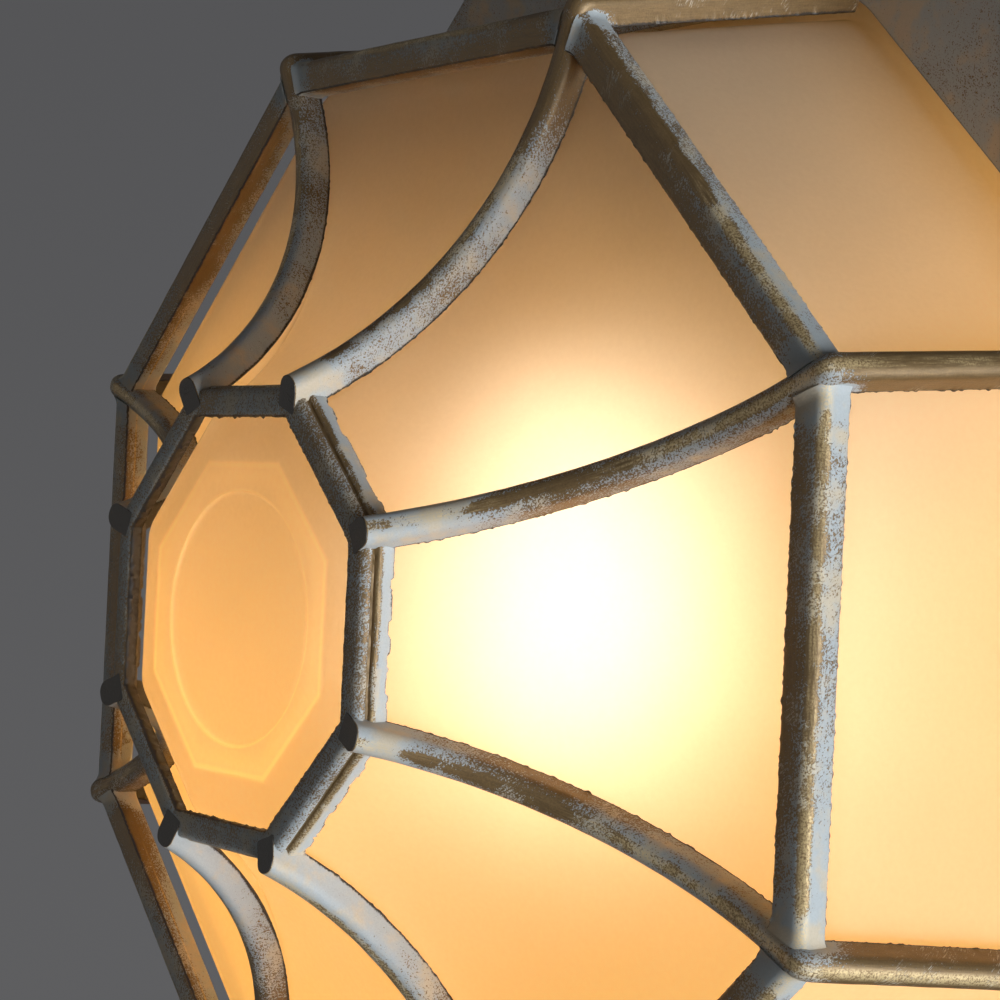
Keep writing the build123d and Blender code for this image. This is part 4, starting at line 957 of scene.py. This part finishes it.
class RingOperator(bpy.types.Operator):
    """Builds the bottom ring with its front band, groove and broken ridge"""

    bl_idname = "ceiling_light.ring"
    bl_label = "Bottom ring"

    def execute(self, context):
        cage = context.scene.light_cage
        finish = brushed_paint("ring paint", 0.60, 0.5, 0.5, 0.6, True)
        profile = ring_profile(cage)
        run = lengths_along([Vector(row[:2]) for row in profile])
        rings, strokes = [], []
        count = 84
        for n in range(SIDES):
            angle = 2 * n * HALF_SIDE
            for k in range(count):
                share = 2 * k / count - 1
                ring, stroke = [], []
                for m, (a, z, edge, cover, flaking) in enumerate(profile):
                    along = share * a * HALF_SLOPE
                    point = turned(angle, a, z, along)
                    point += jitter(point, RING_WAVES)
                    burr = burr_at(point, cage, edge)
                    chip = flake_at(point, cage) * flaking
                    point += turned(angle, -burr if m < INWARD_ROWS else burr, -chip)
                    point.z = min(max(point.z, RING_LOW.z), RING_HIGH.z)
                    ring.append(point)
                    stroke.append((angle * 0.05 + along, run[m] - run[CREST_ROW], edge, cover))
                rings.append(ring)
                strokes.append(stroke)
        made = skin("cast_ring", rings, strokes, loop=True, sharp=50.0)
        made.data.materials.append(finish)
        fit(made, "shade", "cage_paint", "bottom_ring")
        return {"FINISHED"}


class FlangeOperator(bpy.types.Operator):
    """Finishes the flange plate that carries the ribs"""

    bl_idname = "ceiling_light.flange"
    bl_label = "Flange"

    def execute(self, context):
        dress(brushed_paint("flange paint", 0.66, 0.0, 0.0, 0.4, False), "cage_flange")
        return {"FINISHED"}


def glass_outline(cage, bowl, inset, top):
    """Outline of the bowl over a flat, from the foot of the facets to the rim, moved in by inset."""
    radius = cage.arc_radius + cage.rib_depth + bowl.gap_under + inset
    floor = GLASS_LOW.z + inset
    centre = arc_centre(cage)
    side = (cage.rib_depth + bowl.gap_side + inset) * math.hypot(1.0, cage.rib_flare)
    wall_r = flared(cage, cage.equator_radius - side, shoulder_height(cage), centre.y + radius)
    wall = Vector((wall_r, arc_height(cage, radius, wall_r)))
    foot = Vector((arc_reach(cage, radius, floor), floor))
    end = Vector((flared(cage, wall.x, wall.y, top), top))
    rounding = max(0.0015, bowl.equator_round - inset)
    points = arc_then_wall(cage, radius, foot, wall, end, rounding, (46, 8, 26), FLAT_RATIO)
    return floor, points


def octagon_ring(apothem, z, corner, straights=14, arcs=6):
    """Level of the bowl: an octagon with rounded corners, or a circle where the corner is that large."""
    corner = min(corner, apothem)
    half = (apothem - corner) * HALF_SLOPE
    hub = (apothem - corner) / FLAT_RATIO
    ring = []
    for n in range(SIDES):
        angle = 2 * n * HALF_SIDE
        for k in range(straights):
            ring.append(turned(angle, apothem, z, half * (2 * k / straights - 1)))
        middle = turned(angle + HALF_SIDE, hub, z)
        for k in range(arcs):
            ring.append(middle + turned(angle + 2 * HALF_SIDE * k / arcs, corner, 0.0))
    return ring


# Turn from the base into the facets in radians, corner rounding at the base, and how it grows up to the rim.
FOOT_TURN = 1.08
BASE_CORNER = 0.012
RIM_RISE = 0.02
RIM_CORNER_GROWTH = 0.006


def glass_levels(cage, bowl):
    """Levels of the bowl outside and inside, from the axis to the rim, as (apothem, height, corner)."""
    levels = []
    for inset, rim in ((0.0, bowl.rim_under), (bowl.thickness, GLASS_HIGH.z)):
        floor, points = glass_outline(cage, bowl, inset, rim)
        back = (bowl.floor_round + inset) * math.tan(FOOT_TURN / 2)
        running = lengths_along(points)
        first = next(n for n, length_here in enumerate(running) if length_here > back)
        foot = points[0]
        start = Vector((foot.x - back, floor))
        base = curve_through(start, foot, points[first], 10)
        shell = []
        if inset == 0.0:
            deep = floor + bowl.disc_depth
            disc = bowl.disc_radius
            shell += [(disc * share, deep, disc) for share in (0.02, 0.25, 0.5, 0.75, 0.9)]
            shell += [(disc - 0.0006, deep, disc), (disc - 0.0001, deep - 0.0002, disc)]
            shell += [(disc, floor + 0.00012, disc), (disc + 0.0005, floor, disc)]
            shell.append((disc + 0.0022, floor, disc * 0.8))
        else:
            shell += [(start.x * share, floor, start.x) for share in (0.02, 0.3, 0.6, 0.85)]
        for n, p in enumerate(base):
            extra = (BASE_CORNER - bowl.facet_round) * max(0.0, 1 - n / 5)
            shell.append((p.x, p.y, bowl.facet_round + extra))
        for p in points[first + 1 :]:
            rise = max(0.0, (p.y - points[-1].y + RIM_RISE) / RIM_RISE)
            shell.append((p.x, p.y, bowl.facet_round + rise * RIM_CORNER_GROWTH))
        levels.append(shell)
    return levels


def line_at(tree, value, middle, half_width):
    """One on a line, falling to nothing beside it."""
    beside = size_of(tree, minus(tree, value, middle))
    return step_between(tree, beside, 0.0, half_width, 1.0, 0.0)


# Pressed base, painted in the glass's glow: gap from the disc to the bevel, half widths of the painted
# highlight lines on both and of the painted soft light inside the bevel, the run of the painted shade outside
# it, and how far each lightens or darkens the glow.
BEVEL_GAP = 0.0048
DISC_LINE = 0.0006
BEVEL_LINE = 0.0009
SOFT_INSET = 0.002
SOFT_LINE = 0.0035
SHADE_RUN = 0.0015
LINE_SHARE = 0.55
SOFT_SHARE = 0.30
SHADE_SHARE = -0.34


def painted_base_light(tree, place, bowl):
    """Light and dark share of the base's glow, all painted light: highlight edges of the pressed disc and of
    the bevel round it, and shade outside the bevel.
    """
    parts = add_node(tree, "ShaderNodeSeparateXYZ", Vector=place)
    wide = size_of(tree, parts.outputs["X"])
    deep = size_of(tree, parts.outputs["Y"])
    slanted = times(tree, plus(tree, wide, deep), math.sqrt(0.5))
    apothem = largest(tree, largest(tree, wide, deep), slanted)
    radius = root(tree, fused(tree, wide, wide, times(tree, deep, deep)))
    bevel = bowl.disc_radius + BEVEL_GAP
    disc_edge = line_at(tree, radius, bowl.disc_radius, DISC_LINE)
    edges = plus(tree, disc_edge, line_at(tree, apothem, bevel, BEVEL_LINE))
    soft = times(tree, line_at(tree, apothem, bevel - SOFT_INSET, SOFT_LINE), SOFT_SHARE)
    dark = times(tree, step_between(tree, apothem, bevel, bevel + SHADE_RUN), SHADE_SHARE)
    change = plus(tree, fused(tree, edges, LINE_SHARE, soft), dark)
    low = step_between(tree, parts.outputs["Z"], GLASS_LOW.z + 0.001, GLASS_LOW.z + 0.005, 1.0, 0.0)
    return fused(tree, change, low, 1.0)


# Painted light in the glass: the point far to one side that its glow falls away from, into painted shade, and
# where the fall starts and ends.
PAINTED_GLOW_FROM = (-0.82, 0.0, 0.484)
PAINTED_GLOW_START = 0.992
PAINTED_GLOW_END = 1.088


class GlassOperator(bpy.types.Operator):
    """Builds the moulded glass bowl with rounded facets, pressed disc and rim"""

    bl_idname = "ceiling_light.glass_bowl"
    bl_label = "Glass bowl"

    def execute(self, context):
        cage = context.scene.light_cage
        bowl = context.scene.light_glass
        finish = context.scene.light_finishes
        outer, inner = glass_levels(cage, bowl)
        fold_a, fold_z, fold_corner = outer[-1]
        soft = bowl.fold_round
        under = bowl.rim_under
        edge = GLASS_HIGH.x
        top = GLASS_HIGH.z
        rim = [(fold_a + soft * 0.3, under - soft * 0.05), (fold_a + soft, under)]
        rim += [(edge - 0.0008, under), (edge - 0.0002, under + 0.0004), (edge, under + 0.001)]
        rim += [(edge, top - 0.001), (edge - 0.0002, top - 0.0004), (edge - 0.0008, top)]
        rim.append((inner[-1][0] + 0.0012, top))
        outer[-1] = (fold_a - 0.0002, fold_z - 0.0012, fold_corner)
        levels = outer + [(a, z, bowl.rim_corner) for a, z in rim] + inner[::-1]
        made = skin("glass_shell", [octagon_ring(*level) for level in levels], sharp=60.0)
        # The glass's own emission is painted light: painted lamp glow, falling to painted shade, with painted
        # highlights of the pressed base.
        glass, tree, shader = new_material(
            "frosted glass", Transmission_Weight=0.8, IOR=1.27, Metallic=0.0, Emission_Strength=0.36
        )
        place = place_of(tree)
        outputs = use_group(
            tree, "Moulded grain", Place=place, Scale=900.0, Base=finish.glass,
            Shade=[0.95 * c for c in finish.glass], Rough=0.95,
        )
        feed(tree, outputs, shader, 0.00003)
        glow = use_group(
            tree, "Lamp glow", Place=place, Lamp=PAINTED_GLOW_FROM, Near=finish.painted_glow_near,
            Far=finish.painted_glow_far, Start=PAINTED_GLOW_START, Reach=PAINTED_GLOW_END,
        )
        # Painted highlights and shade of the pressed base, laid over the painted glow.
        painted_glow_with_base = blend(tree, 1.0, glow["Colour"], painted_base_light(tree, place, bowl), "MULTIPLY")
        tree.links.new(painted_glow_with_base, shader.inputs["Emission Color"])
        made.data.materials.append(glass)
        fit(made, "shade", "frosted_glass", "glass_bowl")
        return {"FINISHED"}


def around_axis(radii):
    """Sideways distances of the points of a ring with these radii."""
    turns = [2 * math.pi * k / len(radii) for k in range(len(radii))]
    return [(radius * math.cos(angle), radius * math.sin(angle)) for radius, angle in zip(radii, turns)]


def cap_ring(x, radii):
    """Ring of the lamp cap at x."""
    return [Vector((x, a, LAMP_HEIGHT + b)) for a, b in around_axis(radii)]


def screw_ring(z, radii):
    """Ring of the thumb screw at height z."""
    return [Vector((a, LATCH_Y + b, z)) for a, b in around_axis(radii)]


class LampOperator(bpy.types.Operator):
    """Lights the envelope and gives the cap its rolled thread"""

    bl_idname = "ceiling_light.lamp"
    bl_label = "Lamp"

    def execute(self, context):
        sizes = context.scene.light_fittings
        finish = context.scene.light_finishes
        opal, tree, shader = new_material(
            "opal lamp glass", Roughness=0.3, Transmission_Weight=0.0, Emission_Strength=4.6
        )
        glow = use_group(
            tree, "Moulded grain", Place=place_of(tree), Scale=160.0, Base=finish.lamp,
            Shade=[0.94 * c for c in finish.lamp], Rough=0.3,
        )
        feed(tree, glow, shader, 0.00001)
        shine = use_group(
            tree, "Lamp glow", Place=place_of(tree), Lamp=(0.0, 0.0, LAMP_HEIGHT), Near=finish.lamp,
            Far=[0.2 * c for c in finish.lamp], Start=0.03, Reach=0.075,
        )
        tree.links.new(shine["Colour"], shader.inputs["Emission Color"])
        dress(opal, "lamp_envelope")
        outer = CAP_HIGH.z - LAMP_HEIGHT
        start, end = CAP_LOW.x, CAP_HIGH.x
        shoulder = end - 0.0035
        around = 64
        steps = 60
        rings = [cap_ring(start + 0.0001, [outer * 0.98] * around)]
        for n in range(steps + 1):
            x = start + 0.0002 + (shoulder - start) * n / steps
            fade = min(1.0, max(0.0, (x - start - 0.004) / 0.002), max(0.0, (shoulder - x) / 0.002))
            radii = []
            for k in range(around):
                wave = 0.5 - 0.5 * math.cos(2 * math.pi * x / sizes.cap_pitch - 2 * math.pi * k / around)
                radii.append(outer - sizes.cap_thread * wave * fade)
            rings.append(cap_ring(x, radii))
        for x, share in ((end - 0.0022, 0.93), (end - 0.0008, 0.80), (end, 0.62)):
            rings.append(cap_ring(x, [outer * share] * around))
        cap = skin("threaded_lamp_cap", rings)
        pressed = metal("pressed aluminium", (0.72, 0.72, 0.72), (0.52, 0.52, 0.53), LINES_ROUND_X, 0.24)
        cap.data.materials.append(pressed)
        fit(cap, "lamp", "lamp_cap_metal", "lamp_cap")
        dress(pressed, "lamp_contact")
        return {"FINISHED"}


class LampholderOperator(bpy.types.Operator):
    """Finishes the lampholder, its contacts and its bracket"""

    bl_idname = "ceiling_light.lampholder"
    bl_label = "Lampholder"

    def execute(self, context):
        glaze = moulded(
            "glazed porcelain", (0.80, 0.78, 0.72), (0.72, 0.69, 0.62), 420.0, 0.2, 0.00003, Coat_Weight=0.6
        )
        dress(glaze, "lampholder_body")
        dress(brass(), "lampholder_shell", "lampholder_contact")
        dress(zinc(), "lampholder_bracket")
        return {"FINISHED"}


class TrayOperator(bpy.types.Operator):
    """Finishes the ceiling tray"""

    bl_idname = "ceiling_light.tray"
    bl_label = "Ceiling tray"

    def execute(self, context):
        dress(brushed_paint("tray paint", 0.82, 0.0, 0.0, 0.6, False), "base_tray")
        return {"FINISHED"}


class SealOperator(bpy.types.Operator):
    """Finishes the foam, the silicone seals and the rubber grommet"""

    bl_idname = "ceiling_light.seals"
    bl_label = "Seals"

    def execute(self, context):
        foam, tree, shader = new_material("closed-cell foam", Roughness=0.95)
        place = place_of(tree)
        cells = add_node(tree, "ShaderNodeTexVoronoi", Vector=place, Scale=900.0)
        tint = blend(tree, cells.outputs["Distance"], (0.035, 0.035, 0.036), (0.085, 0.085, 0.086))
        tree.links.new(tint, shader.inputs["Base Color"])
        bump(tree, shader, cells.outputs["Distance"], 0.0003)
        dress(foam, "ceiling_gasket")
        silicone = moulded(
            "matt silicone", (0.62, 0.62, 0.59), (0.54, 0.54, 0.51), 700.0, 0.55, Subsurface_Weight=0.1
        )
        dress(silicone, "tray_seal", "glass_gasket", "sealing_washers")
        rubber = moulded("black rubber", (0.020, 0.020, 0.021), (0.040, 0.039, 0.038), 1100.0, 0.6, 0.00006)
        dress(rubber, "cable_grommet")
        return {"FINISHED"}


class WiringOperator(bpy.types.Operator):
    """Finishes the terminal block, the earth pillar and the wires"""

    bl_idname = "ceiling_light.wiring"
    bl_label = "Wiring"

    def execute(self, context):
        block = moulded("terminal plastic", (0.76, 0.72, 0.62), (0.68, 0.64, 0.54), 900.0, 0.42)
        dress(block, "terminal_block")
        brown = moulded("brown insulation", (0.075, 0.032, 0.014), (0.10, 0.045, 0.02), 1300.0, 0.36)
        dress(brown, "live_wire")
        blue = moulded("blue insulation", (0.02, 0.075, 0.28), (0.03, 0.10, 0.34), 1300.0, 0.36)
        dress(blue, "neutral_wire")
        striped, tree, shader = new_material("striped insulation")
        place = place_of(tree)
        outputs = use_group(
            tree, "Moulded grain", Place=place, Scale=1300.0, Base=(0.06, 0.25, 0.03),
            Shade=(0.08, 0.31, 0.04), Rough=0.36,
        )
        parts = add_node(tree, "ShaderNodeSeparateXYZ", Vector=place)
        wire_low, wire_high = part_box("earth_wire")
        height = minus(tree, parts.outputs["Z"], (wire_low.z + wire_high.z) / 2)
        stripe = step_between(tree, size_of(tree, height), 0.00038, 0.00044, 1.0, 0.0)
        tint = blend(tree, stripe, outputs["Colour"], (0.62, 0.46, 0.02))
        tree.links.new(tint, shader.inputs["Base Color"])
        tree.links.new(outputs["Roughness"], shader.inputs["Roughness"])
        bump(tree, shader, outputs["Height"], 0.00003)
        dress(striped, "earth_wire")
        dress(brass(), "earth_pillar", "earth_lug")
        return {"FINISHED"}


class HingeOperator(bpy.types.Operator):
    """Finishes the hinge leaves and the pin"""

    bl_idname = "ceiling_light.hinge"
    bl_label = "Hinge"

    def execute(self, context):
        dress(fitting_paint(), "hinge_base_leaf", "hinge_shade_leaf")
        dress(zinc(), "hinge_pin")
        return {"FINISHED"}


def knob_radius(sizes, angle, full):
    """Radius of the grooved knob at an angle."""
    groove = sizes.knob_round
    step = 2 * math.pi / sizes.knob_grooves
    off = (angle + step / 2) % step - step / 2
    beside = abs(off) * full
    return full - math.sqrt(groove**2 - beside**2) if beside < groove else full


class LatchOperator(bpy.types.Operator):
    """Builds the thumb screw with its thread and grooved knob, and finishes its bracket"""

    bl_idname = "ceiling_light.latch"
    bl_label = "Latch"

    def execute(self, context):
        sizes = context.scene.light_fittings
        full = SCREW_HIGH.x
        low = SCREW_LOW.z
        knob_top = low + sizes.knob_height
        around = sizes.knob_grooves * 10
        soft = sizes.knob_round
        rounding = [(soft * (1 - math.cos(a)), 1 - soft / full * (1 - math.sin(a))) for a in (0.3, 0.8, 1.57)]
        profile = [(low, 0.55, 0.0), (low, 0.80, 0.0)]
        profile += [(low + rise, share, 1.0) for rise, share in rounding]
        profile += [(knob_top - rise, share, 1.0) for rise, share in reversed(rounding)]
        profile += [(knob_top, 0.60, 0.0), (knob_top, sizes.screw_root / full, 0.0)]
        angles = [2 * math.pi * k / around for k in range(around)]
        cuts = [full - knob_radius(sizes, angle, full) for angle in angles]
        rings = []
        for z, share, grooved in profile:
            rings.append(screw_ring(z, [full * share - cut * grooved for cut in cuts]))
        steps = 130
        for n in range(1, steps + 1):
            z = knob_top + (SCREW_HIGH.z - knob_top) * n / steps
            fade = min(1.0, (z - knob_top) / 0.001, max(0.0, (SCREW_HIGH.z - z) / 0.001))
            radii = []
            for angle in angles:
                wave = abs(((z / sizes.screw_pitch - angle / (2 * math.pi)) % 1.0) - 0.5) * 2
                radii.append(sizes.screw_root + (sizes.screw_crest - sizes.screw_root) * wave * fade)
            rings.append(screw_ring(z, radii))
        made = skin("thumb_screw", rings)
        made.data.materials.append(brass())
        fit(made, "latch", "brass", "latch_screw")
        dress(zinc(), "latch_washer", "latch_rivets")
        dress(fitting_paint(), "latch_bracket")
        return {"FINISHED"}


class FastenerOperator(bpy.types.Operator):
    """Finishes the screws and the clips"""

    bl_idname = "ceiling_light.fasteners"
    bl_label = "Fasteners"

    def execute(self, context):
        dress(
            zinc(), "pole_screws", "block_screws", "bracket_screws", "holder_screws", "base_leaf_screws",
            "shade_leaf_screws", "clip_screws", "earth_screw", "glass_clips",
        )
        return {"FINISHED"}


def shown_rays(tree):
    """One for the rays that show the background: from the camera, off gloss and through glass."""
    rays = tree.nodes.new("ShaderNodeLightPath").outputs
    bent = largest(tree, rays["Is Glossy Ray"], rays["Is Transmission Ray"])
    return largest(tree, rays["Is Camera Ray"], bent)


class StageOperator(bpy.types.Operator):
    """Sets the floor, the soft window light, the grey background and the camera"""

    bl_idname = "ceiling_light.stage"
    bl_label = "Stage"

    def execute(self, context):
        scene = context.scene
        stage = scene.light_stage
        scene.view_settings.view_transform = "Standard"
        self.camera(scene, stage)
        self.soft_light(scene, "soft window", stage.window, stage.window_distance, stage.window_power)
        self.soft_light(scene, "soft fill", stage.fill, stage.window_distance, stage.fill_power)
        self.background(scene, stage)
        self.floor(scene, stage)
        return {"FINISHED"}

    def camera(self, scene, stage):
        """Camera at the photograph's viewing angle."""
        data = bpy.data.cameras.new("camera")
        data.sensor_width = 36.0
        data.lens = stage.lens
        data.clip_start = 0.01
        made = bpy.data.objects.new("camera", data)
        scene.collection.objects.link(made)
        place = Vector(stage.camera_place)
        turn = (Vector(stage.camera_aim) - place).to_track_quat("-Z", "Y").to_matrix().to_4x4()
        made.matrix_world = Matrix.Translation(place) @ turn @ Matrix.Rotation(stage.camera_roll, 4, "Z")
        scene.camera = made

    def soft_light(self, scene, name, towards, distance, power):
        """Large cool light, narrowed so that it leaves the floor dim."""
        data = bpy.data.lights.new(name, "AREA")
        data.shape = "RECTANGLE"
        data.size = 1.5
        data.size_y = 1.1
        data.energy = power
        data.spread = math.radians(60.0)
        data.color = (0.93, 0.97, 1.0)
        made = bpy.data.objects.new(name, data)
        scene.collection.objects.link(made)
        away = Vector(towards).normalized()
        middle = (CAD_BOX[0] + CAD_BOX[1]) / 2
        turn = (-away).to_track_quat("-Z", "Y").to_matrix().to_4x4()
        made.matrix_world = Matrix.Translation(middle + away * distance) @ turn

    def background(self, scene, stage):
        """Grey behind the light, and weak light from all sides."""
        world = bpy.data.worlds.new("studio")
        scene.world = world
        world.use_nodes = True
        tree = world.node_tree
        tree.nodes.clear()
        seen = shown_rays(tree)
        along = tree.nodes.new("ShaderNodeTexCoord").outputs["Generated"]
        parts = add_node(tree, "ShaderNodeSeparateXYZ", Vector=along)
        side = step_between(tree, parts.outputs["X"], -0.25, 0.25)
        grey = blend(tree, side, (0.112, 0.112, 0.116), (0.090, 0.090, 0.094))
        behind = add_node(tree, "ShaderNodeBackground", Color=grey, Strength=1.0)
        round_it = add_node(tree, "ShaderNodeBackground", Color=(0.92, 0.95, 1.0), Strength=stage.ambient)
        choice = tree.nodes.new("ShaderNodeMixShader")
        tree.links.new(seen, choice.inputs[0])
        tree.links.new(round_it.outputs[0], choice.inputs[1])
        tree.links.new(behind.outputs[0], choice.inputs[2])
        output = tree.nodes.new("ShaderNodeOutputWorld")
        tree.links.new(choice.outputs[0], output.inputs["Surface"])

    def floor(self, scene, stage):
        """Plain pale floor far below."""
        reach = 6.0
        signs = ((-1, -1), (1, -1), (1, 1), (-1, 1))
        corners = [(reach * x, reach * y, stage.floor_height) for x, y in signs]
        mesh = bpy.data.meshes.new("floor")
        mesh.from_pydata(corners, [], [(0, 1, 2, 3)])
        made = bpy.data.objects.new("floor", mesh)
        scene.collection.objects.link(made)
        shade = [0.95 * x for x in stage.floor_colour]
        pale = moulded("pale floor", stage.floor_colour, shade, 60.0, 0.6, 0.0002)
        mesh.materials.append(pale)
        tree = pale.node_tree
        shader = tree.nodes["Principled BSDF"]
        shader.inputs["Emission Color"].default_value = (*stage.floor_colour, 1.0)
        glow = times(tree, shown_rays(tree), stage.floor_glow)
        tree.links.new(glow, shader.inputs["Emission Strength"])


PIECES = (
    FinishOperator, GlassOperator, RibOperator, BarOperator, RingOperator, FlangeOperator, LampOperator,
    LampholderOperator, TrayOperator, SealOperator, WiringOperator, HingeOperator, LatchOperator,
    FastenerOperator, StageOperator,
)


class LightPanel(bpy.types.Panel):
    """Lists the pieces of the light"""

    bl_idname = "VIEW3D_PT_ceiling_light"
    bl_label = "Ceiling light"
    bl_space_type = "VIEW_3D"
    bl_region_type = "UI"
    bl_category = "Ceiling light"

    def draw(self, context):
        column = self.layout.column()
        for piece in PIECES:
            column.operator(piece.bl_idname)
        for pointer in POINTERS:
            settings = getattr(context.scene, pointer)
            for name in settings.__annotations__:
                column.prop(settings, name)


POINTERS = {
    "light_cage": CageSizes,
    "light_glass": GlassSizes,
    "light_fittings": FittingSizes,
    "light_finishes": Finishes,
    "light_stage": StageSettings,
}


def register():
    for name, kind in POINTERS.items():
        bpy.utils.register_class(kind)
        setattr(bpy.types.Scene, name, bpy.props.PointerProperty(type=kind))
    for piece in PIECES:
        bpy.utils.register_class(piece)
    bpy.utils.register_class(LightPanel)


def unregister():
    bpy.utils.unregister_class(LightPanel)
    for piece in reversed(PIECES):
        bpy.utils.unregister_class(piece)
    for name, kind in POINTERS.items():
        delattr(bpy.types.Scene, name)
        bpy.utils.unregister_class(kind)


def main():
    """Builds every piece in order."""
    register()
    for piece in PIECES:
        family, name = piece.bl_idname.split(".")
        getattr(getattr(bpy.ops, family), name)()


if __name__ == "__main__":
    main()
